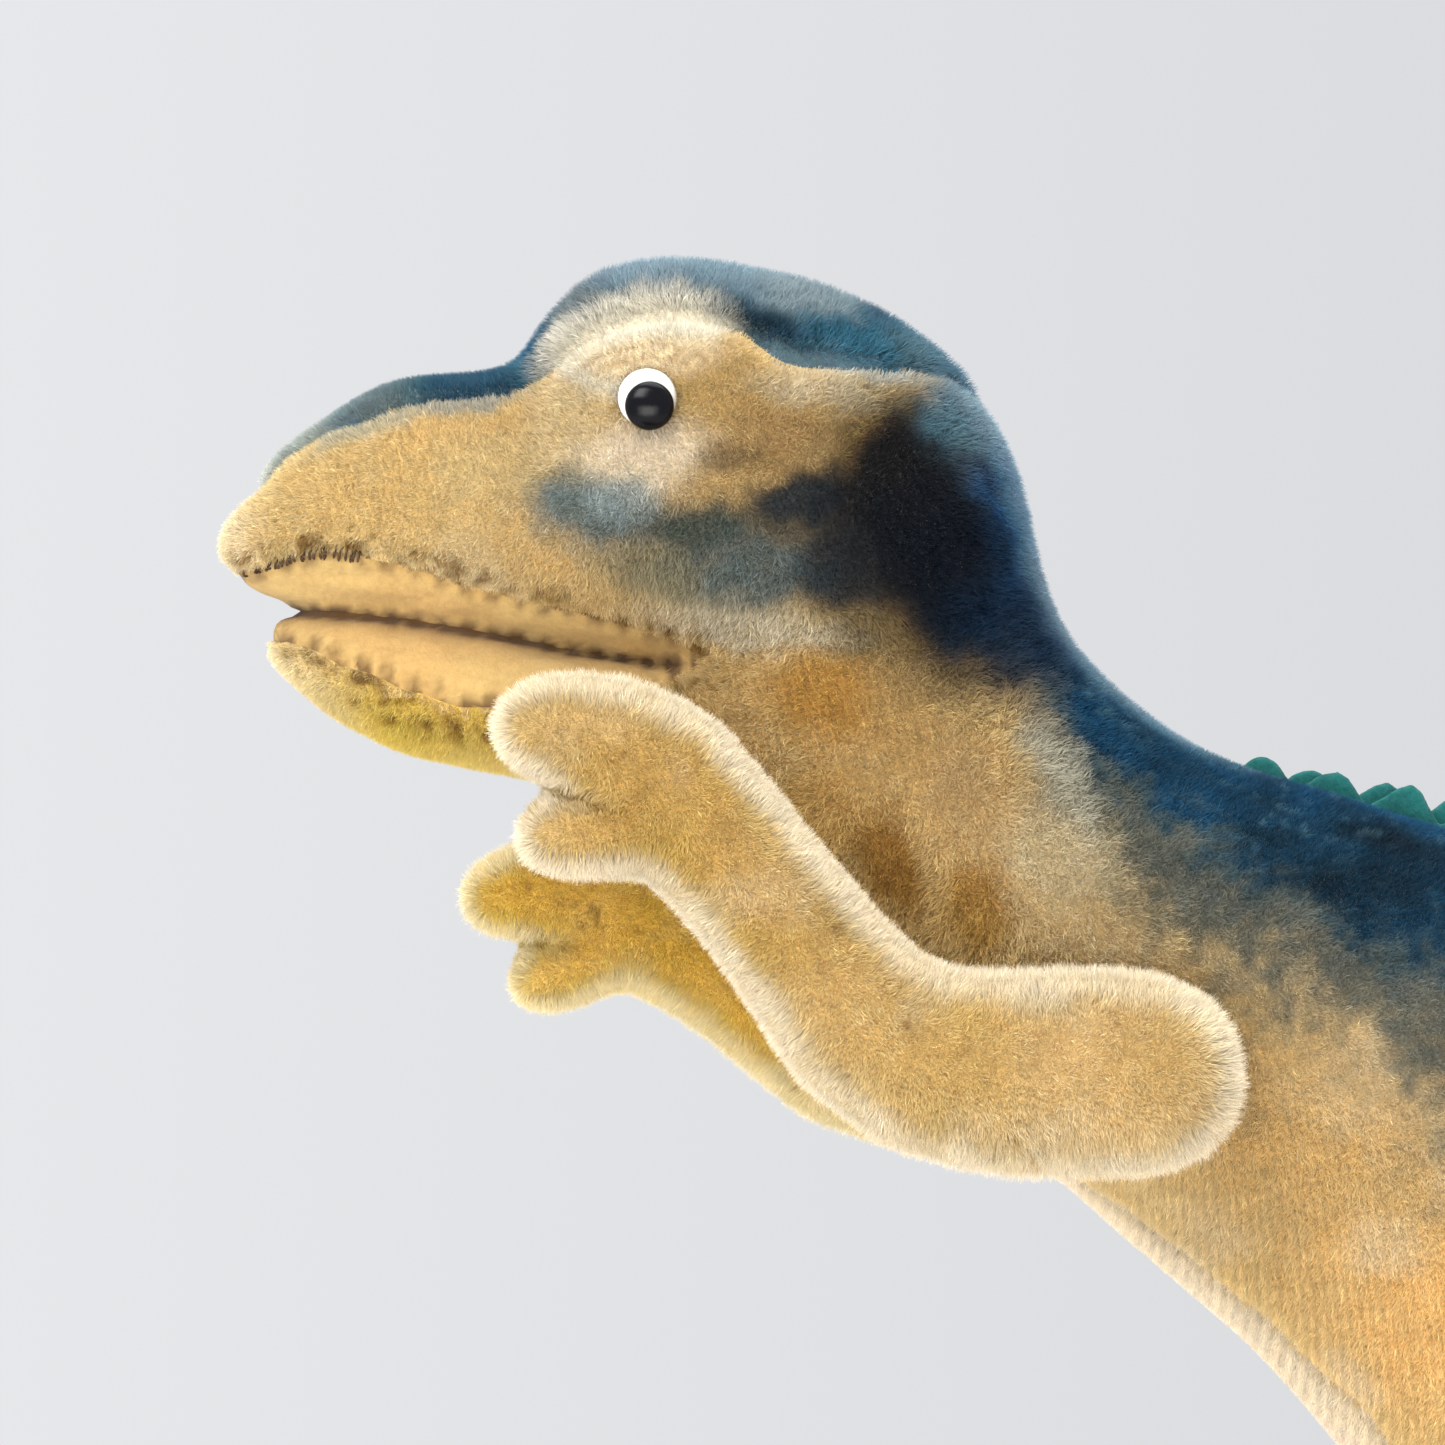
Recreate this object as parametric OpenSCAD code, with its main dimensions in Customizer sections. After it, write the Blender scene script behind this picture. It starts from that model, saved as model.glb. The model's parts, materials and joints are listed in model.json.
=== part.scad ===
// Standing stuffed dinosaur with jointed arms, a felt mouth and a felt back comb.
// The toy faces -Y and stands on z = 0. Its left side is +X.

/* [Skin] */
// Thickness of the mohair cloth with its packed pile
skin_t = 1.8; // [1.2:0.1:2.4]
// Gap between the cloth and the stuffing
stuffing_gap = 0.1; // [0.05:0.05:0.3]
// Number of points round each cross-section
ring_points = 20; // [16:2:24]

/* [Shoulder joint] */
// Distance of the shoulder axis in front of the middle of the toy
shoulder_y = -144; // [-146:1:-142]
// Height of the shoulder axis
shoulder_z = 325; // [323:1:327]
// Half width of the body at the flat patch under the arm
shoulder_x = 32.5; // [32:0.5:34]
// Radius of the flat patch under the arm
patch_r = 12; // [11:0.5:13]
// Radius of the disc inside the body
body_disc_r = 10; // [8:0.5:10]
// Radius of the disc inside the arm
arm_disc_r = 8.5; // [7:0.5:9]
// Thickness of both discs
disc_t = 2.5; // [2:0.5:3]
// Radius of the steel washers
washer_r = 5; // [4:0.5:6]
// Thickness of the steel washers
washer_t = 0.8; // [0.6:0.1:1]
// Radius of the cotter pin
pin_r = 1.2; // [1:0.1:1.5]
// Running clearance round the cotter pin
pin_clearance = 0.05; // [0.03:0.01:0.08]

/* [Arms] */
// Half thickness of an arm across the toy
arm_half_t = 11; // [9:0.5:11.5]
// Gap between the arm and the body
arm_gap = 0.5; // [0.4:0.1:1]
// How far the right arm hangs below the left one, in degrees
right_arm_drop = 18; // [0:1:30]

/* [Eyes] */
// Radius of the white button
eye_white_r = 4; // [3.9:0.1:4.6]
// Radius of the black pupil
pupil_r = 3.4; // [3:0.1:3.6]
// How far the white stands out of the cloth
eye_white_t = 1.6; // [1.2:0.1:2]
// How far the pupil stands out of the white
pupil_t = 1.5; // [1:0.1:2]

/* [Back comb] */
// Thickness of the comb felt
comb_t = 1.2; // [0.8:0.1:1.6]
// Length of one scallop along the back
comb_pitch = 10; // [8:0.5:12]
// Height of the tallest scallop
comb_h = 12; // [8:0.5:14]
// Gap between the two rows of the comb
comb_gap = 0.8; // [0.4:0.1:1.2]

/* [Feet] */
// Thickness of the felt soles
sole_t = 2; // [1.5:0.5:3]
// Thickness of the card stiffener above each sole
card_t = 1.5; // [1:0.5:2]
// Distance of the leg's seam plane from the middle of the toy
leg_seam_x = 46; // [44:1:48]

/* [Stitches] */
// Radius of the stitching thread
thread_r = 0.3; // [0.2:0.05:0.4]
// Number of overcast stitches on each side of the upper lip
lip_stitches = 13; // [9:1:15]
// Number of stitches that close the belly seam
closing_stitches = 14; // [8:1:20]

/* [Hidden] */
$fn = 48;

// Colours
tan_mohair = "#E0B673";
blue_mohair = "#4A7A94";
cream_mohair = "#E8D9A8";
olive_mohair = "#C9B35C";
peach_felt = "#F2C57E";
teal_felt = "#0F7F7C";
sole_felt = "#D8C79A";
wood_wool = "#D9C79E";
card = "#B89B6C";
steel = "#9AA0A6";
brown_thread = "#4A2A1E";

// A cross-section is [y, z of its upper point, y, z of its lower point, half width, x of its middle].
// Trunk from the throat to the tip of the tail.
trunk = [
    [-176, 402, -204, 378, 10, 0], [-164, 400, -203, 365, 19.5, 0], [-153, 389, -195, 351, 23, 0],
    [-148, 377.5, -184, 338, 26, 0], [-139.5, 369, -172, 326, 29, 0],
    [-127, 362, -159, 316, 32, 0], [-113, 357.5, -147, 308, 35, 0],
    [-98, 353.5, -135, 296.5, 38, 0], [-81, 349.5, -122, 285.5, 41, 0],
    [-63, 342, -109.5, 272, 44, 0], [-46, 331, -99, 257, 46.5, 0],
    [-30, 316, -90.5, 240, 48.5, 0], [-15, 297, -84, 221, 50, 0],
    [-2, 275, -79, 202, 50.5, 0], [9, 252, -73, 183, 50, 0],
    [19, 228, -64, 163, 48, 0], [29, 203, -51, 144, 45, 0],
    [40, 179, -34, 126, 41, 0], [54, 155, -14, 110, 37, 0],
    [71, 132, 8, 95, 33, 0], [92, 110, 34, 79, 29, 0],
    [116, 88, 63, 61, 25, 0], [143, 67, 95, 42, 21, 0],
    [172, 48, 130, 23, 17.5, 0], [201, 32.5, 168, 8, 14, 0],
    [226, 21, 204, 1, 10.5, 0], [245, 14, 233, 0, 7.5, 0],
    [255, 10, 249, 0.6, 5, 0], [260, 6.5, 258, 2.5, 2, 0]
];
// Skull and upper jaw from the nose to the back of the head.
skull = [
    [-260, 393, -260, 390, 3, 0], [-258.5, 397.5, -258.5, 386.5, 7, 0],
    [-254.5, 402, -255, 384.6, 10, 0], [-247, 406, -247, 383.4, 12, 0],
    [-236, 411.7, -236, 382, 13.6, 0], [-224, 413, -224, 380, 15, 0],
    [-218.5, 415.5, -219, 379, 16.2, 0], [-214.5, 421, -215, 378.2, 18, 0],
    [-209.5, 425.4, -210, 377.2, 20, 0], [-202, 427, -202, 375.5, 21.8, 0],
    [-193, 426.8, -194, 371, 23.2, 0], [-182, 424, -186, 366, 24.2, 0],
    [-171, 419.8, -180, 362, 24.4, 0], [-163, 414, -176, 362, 23, 0],
    [-158, 407.5, -172, 364, 20, 0], [-155, 400, -166, 368, 15, 0],
    [-152.8, 391, -160, 372, 9, 0]
];
// Lower jaw from its tip to the throat.
jaw = [
    [-254.5, 380, -254, 377.5, 4, 0], [-252, 381.4, -251, 374.4, 7.5, 0],
    [-247, 382.2, -245, 369.6, 10, 0], [-238, 381.5, -236, 365, 11.8, 0],
    [-226, 379.5, -226, 362.9, 13.2, 0], [-214, 377, -214, 361, 14.8, 0],
    [-204, 375.2, -204, 357.5, 16.6, 0], [-196, 375, -196, 352.5, 18.4, 0],
    [-188, 376, -186, 348, 19, 0]
];
// Leg from the sole to the top of the thigh. These sections lie flat.
leg = [
    [-118, 2, -27, 2, 24, 47], [-121, 9, -25, 9, 26, 47], [-118.5, 18, -25.5, 18, 25.6, 47],
    [-110, 27, -28, 27, 24.4, 47], [-97, 36, -31, 36, 22.8, 47], [-84, 47, -32.5, 47, 21.6, 47],
    [-80, 62, -32, 62, 21.8, 47], [-87, 80, -33, 80, 23.8, 47], [-98, 100, -33, 100, 26.6, 46.8],
    [-108, 122, -30, 122, 29.2, 46.2], [-112.5, 146, -23, 146, 31, 45], [-109, 170, -15, 170, 31, 43.2],
    [-99, 192, -11, 192, 28.5, 41], [-85, 212, -12, 212, 23.5, 38.5], [-69, 227, -18, 227, 16.5, 36],
    [-54, 237, -29, 237, 8, 34]
];
// Arm with its shoulder at 0, 0. Each station is [y, z, half width, thickness factor].
upper_arm = [
    [13, -0.6, 2.5, 0.35], [11.8, -0.6, 6.5, 0.62], [8.4, -0.5, 10, 0.86], [3, -0.3, 12.3, 0.98],
    [-6, 0, 12.5, 1], [-16, 0, 12, 1], [-25, 1.6, 11.4, 0.98], [-32.3, 6.2, 10.6, 0.95],
    [-38, 13.6, 9.6, 0.92], [-43.8, 21.4, 9.1, 0.9], [-49.8, 28.9, 9.5, 0.88], [-56.5, 35.5, 9.9, 0.86],
    [-64, 40.4, 8.4, 0.82], [-71, 42.2, 6.6, 0.72], [-75.5, 42.3, 4.6, 0.52], [-77.6, 42.2, 1.8, 0.25]
];
small_finger = [
    [-54, 32.5, 6.4, 0.82], [-62, 30.2, 6, 0.76], [-69, 29.2, 5.4, 0.66], [-73, 29, 3.8, 0.48],
    [-75, 29, 1.6, 0.22]
];

// Seams seen from the side, as [y, z] points.
gusset_seam = [
    [-270, 397], [-258, 398.5], [-246, 404.5], [-236, 407.6], [-222, 410.2], [-216, 413.5],
    [-211, 417.5], [-200, 419.5], [-191, 418], [-186, 414.4], [-166, 413], [-158, 406.5],
    [-153.5, 399], [-149, 388]
];
mouth_line = [
    [-270, 383.2], [-254, 383], [-246, 382.7], [-236, 381.6], [-224, 379.6], [-212, 377],
    [-200, 375.4], [-196, 375.2]
];
upper_lip_seam = [
    [-196, 377], [-203, 379.6], [-210, 381.4], [-220, 383.9], [-230, 386.6], [-240, 389.6],
    [-247, 389.8], [-257, 387.7], [-270, 387.5]
];
lower_lip_seam = [
    [-270, 378.8], [-253, 378.8], [-246, 376.8], [-236.4, 372.4], [-228.7, 370], [-220, 369],
    [-212, 369.5], [-204, 371.5], [-198, 374], [-196, 375.2]
];
belly_seam = [
    [-206, 365.5], [-195, 358], [-183, 345], [-171, 331], [-160, 320], [-150, 311.8],
    [-139, 305], [-126, 295], [-110, 280], [-98, 265], [-88, 247], [-80.5, 228], [-74.5, 208],
    [-68, 189], [-59, 171], [-46, 153], [-29, 136], [-9, 119], [13, 103], [39, 87], [68, 69],
    [100, 49], [135, 29], [165, 13]
];
chin_back = -206;
neck_cut = 366;
tail_cut = 40;

// Eye and comb positions
eye_y = -203.4;
eye_z = 409.2;
eye_x = 19.4;
comb_start = 5;
comb_end = 25;
pupil_fit = 0.01;
patch_margin = 5.6;
overlap = 0.02;
overlap_inset = 0.3;

// Half length of a section and its points, drawn in by g all round
function half(s) = norm([s[0] - s[2], s[1] - s[3]]) / 2;
function ring(s, g, n) =
    let (k = (half(s) - g) / half(s))
    [for (i = [0:n - 1]) [
        s[5] + (s[4] - g) * sin(360 * i / n),
        (s[0] + s[2]) / 2 + k * (s[0] - s[2]) / 2 * cos(360 * i / n),
        (s[1] + s[3]) / 2 + k * (s[1] - s[3]) / 2 * cos(360 * i / n)
    ]];
function fits(s, g) = min(half(s), s[4]) > g + 0.4;

// Closed solid through two or more neighbouring cross-sections
module bag(points)
    hull() polyhedron(points = points, faces = [[for (i = [0:len(points) - 1]) i]]);

// Each stretch of a loft reaches a hair into the next one, so that they join into one solid.
module loft(sections, g) {
    kept = [for (s = sections) if (fits(s, g)) s];
    last = len(kept) - 1;
    for (i = [0:last - 1])
        bag(concat(
            ring(kept[i], g, ring_points),
            ring(kept[i + 1], g, ring_points),
            i + 1 < last
                ? ring(kept[i + 1] + overlap * (kept[i + 2] - kept[i + 1]), g + overlap_inset, ring_points)
                : []
        ));
}

// Solid that fills a side-view outline right across the toy
module across(outline, from = -90, to = 90)
    translate([from, 0, 0]) rotate([90, 0, 90]) linear_extrude(to - from) polygon(outline);

module left_half() translate([0, -300, -10]) cube([90, 600, 460]);

module at_shoulder(x) translate([x, shoulder_y, shoulder_z]) rotate([0, 90, 0]) children();

module mirror_to(side) mirror([side > 0 ? 0 : 1, 0, 0]) children();

// The trunk with the flat patches that carry the arms
module trunk_shape(g) {
    difference() {
        union() {
            loft(trunk, g);
            at_shoulder(g - shoulder_x) cylinder(r = patch_r - g, h = 2 * (shoulder_x - g));
        }
        for (side = [-1, 1]) mirror_to(side)
            at_shoulder(shoulder_x - g) cylinder(r = patch_r + patch_margin + g, h = 20);
    }
}

module whole_shape(g) {
    trunk_shape(g);
    difference() {
        loft(skull, g);
        across(concat(mouth_line, [[-196, 340], [-270, 340]]));
    }
    difference() {
        loft(jaw, g);
        across(concat(mouth_line, [[-196, 400], [-270, 400]]));
    }
}

module pin_holes() at_shoulder(-60) cylinder(r = pin_r + 0.4, h = 120, $fn = 24);
module eye_holes() for (side = [-1, 1]) at_eye(side, 10) cylinder(r = eye_white_r + 0.1, h = 20, $fn = 32);

module skin() {
    difference() {
        whole_shape(0);
        whole_shape(skin_t);
        pin_holes();
        eye_holes();
    }
}

// Regions of the skin that are cut from one piece of cloth
module gusset_region() across(concat(gusset_seam, [[-140, 388], [-140, 440], [-270, 440]]));
module palate_region() across(concat(mouth_line, upper_lip_seam));
module jaw_region()
    across(concat(lower_lip_seam, [for (i = [len(mouth_line) - 2:-1:0]) mouth_line[i]]));
module chin_region()
    across(concat(
        [for (p = lower_lip_seam) if (p[0] < chin_back) p],
        [[chin_back, 371], [chin_back, 340], [-270, 340]]
    ));
module belly_region() difference() {
    across(concat(belly_seam, [[165, -20], [-300, -20], [-300, 365.5]]));
    chin_region();
}

// Skin panels
module side_panel(side) color(tan_mohair) mirror_to(side) intersection() {
    difference() {
        skin();
        gusset_region();
        palate_region();
        jaw_region();
        chin_region();
        belly_region();
    }
    left_half();
}
module side_panel_left() side_panel(1);
module side_panel_right() side_panel(-1);
module head_gusset() color(blue_mohair) intersection() {
    skin();
    gusset_region();
}
module belly_panel() color(cream_mohair) intersection() {
    skin();
    belly_region();
}
module chin_panel() color(olive_mohair) intersection() {
    skin();
    chin_region();
}
module palate_lining() color(peach_felt) intersection() {
    skin();
    palate_region();
}
module jaw_lining() color(peach_felt) intersection() {
    skin();
    jaw_region();
}

// Stuffing
module above(z) translate([-90, -300, z]) cube([180, 600, 460]);
module stuffing() difference() {
    whole_shape(skin_t + stuffing_gap);
    for (side = [-1, 1]) mirror_to(side) {
        at_shoulder(pin_tail_x - 2) cylinder(r = body_disc_r + 0.2, h = 20, $fn = 32);
        translate([8, eye_y, eye_z]) rotate([0, 90, 0]) cylinder(r = 2, h = 20, $fn = 24);
    }
}
module head_stuffing() color(wood_wool) intersection() {
    stuffing();
    above(neck_cut);
}
module front_of_tail()
    across([[-300, 450], [-300, 0], [tail_cut - 60, 0], [tail_cut - 60, 112], [tail_cut + 60, 190],
        [tail_cut + 60, 450]]);
module body_stuffing() color(wood_wool) intersection() {
    difference() {
        stuffing();
        above(neck_cut);
    }
    front_of_tail();
}
module tail_stuffing() color(wood_wool) difference() {
    stuffing();
    front_of_tail();
}

// Back comb: scallops that grow from the neck and shrink again along the tail
back_line = [for (i = [comb_start:comb_end]) [trunk[i][0], trunk[i][1]]];
reach = [for (i = 0, d = 0; i < len(back_line); d = d + (i + 1 < len(back_line)
    ? norm(back_line[i + 1] - back_line[i]) : 0), i = i + 1) d];
back_length = reach[len(reach) - 1];
function back_y(d) = lookup(d, [for (i = [0:len(reach) - 1]) [reach[i], back_line[i][0]]]);
function back_z(d) = lookup(d, [for (i = [0:len(reach) - 1]) [reach[i], back_line[i][1]]]);
function back_dir(d) =
    let (a = [back_y(d - 6), back_z(d - 6)], b = [back_y(d + 6), back_z(d + 6)], t = (b - a) / norm(b - a))
    [-t[1], t[0]];
function comb_size(d) = comb_h * pow(sin(180 * pow(d / back_length, 0.85)), 1.1) + 1.6;
function scallop(d, shift) = pow(sin(180 * (d / comb_pitch + shift)), 2);
function comb_edge(d, shift) =
    [back_y(d), back_z(d)] + back_dir(d) * (1 + comb_size(d) * pow(scallop(d, shift), 0.8));
module comb_row(side, shift) {
    step = comb_pitch / 6;
    last = floor((back_length - 8) / step);
    edge = [for (i = [last:-1:2]) comb_edge(i * step, shift)];
    base = [for (p = back_line) if (p[0] < edge[0][0] - 1) p];
    start = side > 0 ? comb_gap / 2 : -comb_gap / 2 - comb_t;
    color(teal_felt) across(concat(base, [[back_y(last * step), back_z(last * step)]], edge), start, start + comb_t);
}
module crest_left() comb_row(1, 0);
module crest_right() comb_row(-1, 0.5);

// Button eyes
module eye_dome(r, t) intersection() {
    translate([0, 0, t - (r * r + t * t) / (2 * t)]) sphere(r = (r * r + t * t) / (2 * t), $fn = 64);
    cylinder(r = r, h = t + 1);
}
module at_eye(side, x) mirror_to(side) translate([x, eye_y, eye_z]) rotate([0, 90, 0]) children();
module eye_white(side) color("white") difference() {
    at_eye(side, eye_x) union() {
        cylinder(r = eye_white_r, h = 1.2);
        translate([0, 0, 1.2]) eye_dome(eye_white_r, eye_white_t);
    }
    at_eye(side, eye_x + 1.6) translate([0.5, 0.5, 0]) cylinder(r = pupil_r, h = 5);
}
module pupil(side) color("black") at_eye(side, eye_x + 1.6) translate([0.5, 0.5, 0]) union() {
    cylinder(r = pupil_r - pupil_fit, h = 0.8);
    translate([0, 0, 0.8]) eye_dome(pupil_r - pupil_fit, pupil_t);
}
module eye_shank(side) color(steel) at_eye(side, 9.5) union() {
    translate([0, 0, 2]) rotate([90, 0, 0]) rotate_extrude($fn = 32) translate([1.1, 0]) circle(r = 0.4, $fn = 16);
    translate([0, 0, 3]) cylinder(r = 0.5, h = eye_x - 9.5 - 3, $fn = 24);
}
module left_eye_white() eye_white(1);
module right_eye_white() eye_white(-1);
module left_pupil() pupil(1);
module right_pupil() pupil(-1);
module left_eye_shank() eye_shank(1);
module right_eye_shank() eye_shank(-1);

// Legs
module leg_shape(g) difference() {
    loft(leg, g);
    trunk_shape(-0.05);
}
module leg_skin(side) mirror_to(side) difference() {
    leg_shape(0);
    loft(leg, skin_t);
    translate([0, -150, -1]) cube([100, 160, sole_t + 1]);
}
module leg_outer(side) color(tan_mohair) difference() {
    leg_skin(side);
    mirror_to(side) translate([0, -150, 0]) cube([leg_seam_x, 200, 260]);
}
module leg_inner(side) color(cream_mohair) intersection() {
    leg_skin(side);
    mirror_to(side) translate([0, -150, 0]) cube([leg_seam_x, 200, 260]);
}
module leg_stuffing(side) color(wood_wool) mirror_to(side) difference() {
    loft(leg, skin_t + stuffing_gap);
    trunk_shape(-0.1);
    translate([0, -150, -1]) cube([100, 160, sole_t + card_t + 1]);
}
module sole_outline(g) translate([leg[0][5], (leg[0][0] + leg[0][2]) / 2])
    polygon([for (p = ring(leg[0], g, 40)) [p[0] - leg[0][5], p[1] - (leg[0][0] + leg[0][2]) / 2]]);
module sole(side) color(sole_felt) mirror_to(side) linear_extrude(sole_t) sole_outline(0);
module sole_card(side) color(card) mirror_to(side)
    translate([0, 0, sole_t]) linear_extrude(card_t) sole_outline(skin_t + 0.3);
module left_leg_outer() leg_outer(1);
module right_leg_outer() leg_outer(-1);
module left_leg_inner() leg_inner(1);
module right_leg_inner() leg_inner(-1);
module left_leg_stuffing() leg_stuffing(1);
module right_leg_stuffing() leg_stuffing(-1);
module left_sole() sole(1);
module right_sole() sole(-1);
module left_sole_card() sole_card(1);
module right_sole_card() sole_card(-1);

// Arms
arm_x = shoulder_x + arm_gap + arm_half_t;
function arm_dir(path, i) =
    let (a = path[max(i - 1, 0)], b = path[min(i + 1, len(path) - 1)], t = [b[0] - a[0], b[1] - a[1]])
    [-t[1], t[0]] / norm(t);
function arm_section(path, i) =
    let (s = path[i], n = arm_dir(path, i) * s[2])
    [s[0] + n[0], s[1] + n[1], s[0] - n[0], s[1] - n[1], arm_half_t * s[3], arm_x];
function arm_sections(path) = [for (i = [0:len(path) - 1]) arm_section(path, i)];
module arm_place(side) mirror_to(side) translate([0, shoulder_y, shoulder_z])
    rotate([side > 0 ? 0 : right_arm_drop, 0, 0]) children();
module arm_shape(g) {
    loft(arm_sections(upper_arm), g);
    loft(arm_sections(small_finger), g);
}
module arm_patch(g)
    translate([arm_x - arm_half_t + g, 0, 0]) rotate([0, 90, 0])
        cylinder(r = arm_disc_r + 2 - g, h = 8, $fn = 24);
module arm_skin() difference() {
    union() {
        arm_shape(0);
        arm_patch(0);
    }
    arm_shape(skin_t);
    arm_patch(skin_t);
    rotate([0, 90, 0]) cylinder(r = pin_r + 0.4, h = arm_x, $fn = 24);
}
module arm_outer(side) color(tan_mohair) arm_place(side) difference() {
    arm_skin();
    translate([0, -150, -50]) cube([arm_x, 200, 130]);
}
module arm_inner(side) color(cream_mohair) arm_place(side) intersection() {
    arm_skin();
    translate([0, -150, -50]) cube([arm_x, 200, 130]);
}
arm_disc_x = arm_x - arm_half_t + skin_t + 0.1;
module arm_stuffing(side) color(wood_wool) arm_place(side) difference() {
    arm_shape(skin_t + stuffing_gap);
    rotate([0, 90, 0]) cylinder(r = arm_disc_r + 0.2, h = arm_disc_x + 8, $fn = 32);
}
module bored_disc(r, t) difference() {
    cylinder(r = r, h = t);
    translate([0, 0, -1]) cylinder(r = pin_r + pin_clearance, h = t + 2);
}
module at_pin(side, x) mirror_to(side) at_shoulder(x) children();
module arm_disc(side) color(card) at_pin(side, arm_disc_x) bored_disc(arm_disc_r, disc_t);
module arm_washer(side) color(steel)
    at_pin(side, arm_disc_x + disc_t) bored_disc(washer_r, washer_t);
body_disc_x = shoulder_x - skin_t - 0.1 - disc_t;
module body_disc(side) color(card) at_pin(side, body_disc_x) bored_disc(body_disc_r, disc_t);
module body_washer(side) color(steel)
    at_pin(side, body_disc_x - washer_t) bored_disc(washer_r, washer_t);
pin_head_x = arm_disc_x + disc_t + washer_t + 0.1;
pin_tail_x = body_disc_x - washer_t - 0.1;
module cotter_pin(side) color(steel) at_pin(side, 0) union() {
    translate([0, 0, pin_tail_x]) cylinder(r = pin_r, h = pin_head_x - pin_tail_x);
    translate([0, 0, pin_head_x]) cylinder(r = 2.4, h = 1.4);
    translate([0, 0, pin_tail_x - 1.4]) cylinder(r = 2.4, h = 1.4);
}
module left_arm_outer() arm_outer(1);
module right_arm_outer() arm_outer(-1);
module left_arm_inner() arm_inner(1);
module right_arm_inner() arm_inner(-1);
module left_arm_stuffing() arm_stuffing(1);
module right_arm_stuffing() arm_stuffing(-1);
module left_arm_disc() arm_disc(1);
module right_arm_disc() arm_disc(-1);
module left_arm_washer() arm_washer(1);
module right_arm_washer() arm_washer(-1);
module left_body_disc() body_disc(1);
module right_body_disc() body_disc(-1);
module left_body_washer() body_washer(1);
module right_body_washer() body_washer(-1);
module left_cotter_pin() cotter_pin(1);
module right_cotter_pin() cotter_pin(-1);

// Stitches. The skull's half width at a given place finds the surface of the upper lip.
function skull_at(k, y) = lookup(y, [for (s = skull) [(s[0] + s[2]) / 2, s[k]]]);
function skull_x(y, z) =
    let (c = (skull_at(1, y) + skull_at(3, y)) / 2, h = (skull_at(1, y) - skull_at(3, y)) / 2)
    skull_at(4, y) * sqrt(max(0, 1 - pow((z - c) / h, 2)));
function lip_z(y) = lookup(y, [for (i = [len(upper_lip_seam) - 1:-1:0]) upper_lip_seam[i]]);
module lip_stitch(side, y) mirror_to(side) translate([skull_x(y, lip_z(y)), y, lip_z(y)])
    rotate([18, 12, 0]) translate([0, 0, -1.2]) cylinder(r = thread_r, h = 2.4, $fn = 16);
module mouth_stitches() color(brown_thread)
    for (side = [-1, 1], i = [0:lip_stitches - 1]) lip_stitch(side, -255.5 + 1.25 * i);
function belly_z(y) = lookup(y, [for (s = trunk) [s[2], s[3]]]);
module closing_stitch(y) translate([-3, y, belly_z(y)]) rotate([0, 90, 0])
    cylinder(r = thread_r, h = 6, $fn = 16);
module closing_seam_stitches() color(cream_mohair)
    for (i = [0:closing_stitches - 1]) closing_stitch(-105 + 1.1 * i);

side_panel_left();
side_panel_right();
head_gusset();
belly_panel();
chin_panel();
palate_lining();
jaw_lining();
head_stuffing();
body_stuffing();
tail_stuffing();
crest_left();
crest_right();
left_eye_white();
right_eye_white();
left_pupil();
right_pupil();
left_eye_shank();
right_eye_shank();
left_leg_outer();
right_leg_outer();
left_leg_inner();
right_leg_inner();
left_leg_stuffing();
right_leg_stuffing();
left_sole();
right_sole();
left_sole_card();
right_sole_card();
left_body_disc();
right_body_disc();
left_body_washer();
right_body_washer();
left_cotter_pin();
right_cotter_pin();
mouth_stitches();
closing_seam_stitches();
left_arm_outer();
right_arm_outer();
left_arm_inner();
right_arm_inner();
left_arm_stuffing();
right_arm_stuffing();
left_arm_disc();
right_arm_disc();
left_arm_washer();
right_arm_washer();
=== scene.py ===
import json
import math

import bpy
import numpy as np
import openvdb
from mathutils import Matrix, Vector
from mathutils.bvhtree import BVHTree

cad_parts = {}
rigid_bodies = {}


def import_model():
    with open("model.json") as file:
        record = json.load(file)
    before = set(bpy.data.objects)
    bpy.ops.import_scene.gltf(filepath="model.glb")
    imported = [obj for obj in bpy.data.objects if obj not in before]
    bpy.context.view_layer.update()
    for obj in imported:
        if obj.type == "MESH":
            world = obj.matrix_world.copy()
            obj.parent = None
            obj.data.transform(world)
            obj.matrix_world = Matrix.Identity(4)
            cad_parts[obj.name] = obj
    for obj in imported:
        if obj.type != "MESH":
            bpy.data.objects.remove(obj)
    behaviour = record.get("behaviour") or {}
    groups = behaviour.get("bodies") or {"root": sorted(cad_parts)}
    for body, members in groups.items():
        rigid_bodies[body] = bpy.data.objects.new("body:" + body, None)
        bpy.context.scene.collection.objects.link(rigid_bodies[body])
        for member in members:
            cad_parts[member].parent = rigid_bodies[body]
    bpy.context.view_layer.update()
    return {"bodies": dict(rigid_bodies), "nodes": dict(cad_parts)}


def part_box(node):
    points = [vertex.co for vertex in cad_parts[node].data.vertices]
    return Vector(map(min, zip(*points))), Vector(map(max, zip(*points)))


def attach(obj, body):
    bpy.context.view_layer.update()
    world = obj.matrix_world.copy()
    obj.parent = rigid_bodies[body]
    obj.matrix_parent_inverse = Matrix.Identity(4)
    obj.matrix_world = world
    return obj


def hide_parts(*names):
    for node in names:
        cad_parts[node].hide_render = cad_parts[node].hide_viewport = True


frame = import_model()
scene = bpy.context.scene
nodes = frame["nodes"]
rng = np.random.default_rng(11)
MM = 0.001
# No skin comes nearer to the floor than this.
LOWEST = 0.3 * MM


# ---------------------------------------------------------------- reading the frame
def node_arrays(name):
    """A CAD node's points and triangles."""
    me = nodes[name].data
    me.calc_loop_triangles()
    v = np.empty(len(me.vertices) * 3, np.float32)
    me.vertices.foreach_get("co", v)
    t = np.empty(len(me.loop_triangles) * 3, np.int32)
    me.loop_triangles.foreach_get("vertices", t)
    return v.reshape(-1, 3), t.reshape(-1, 3)


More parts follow.
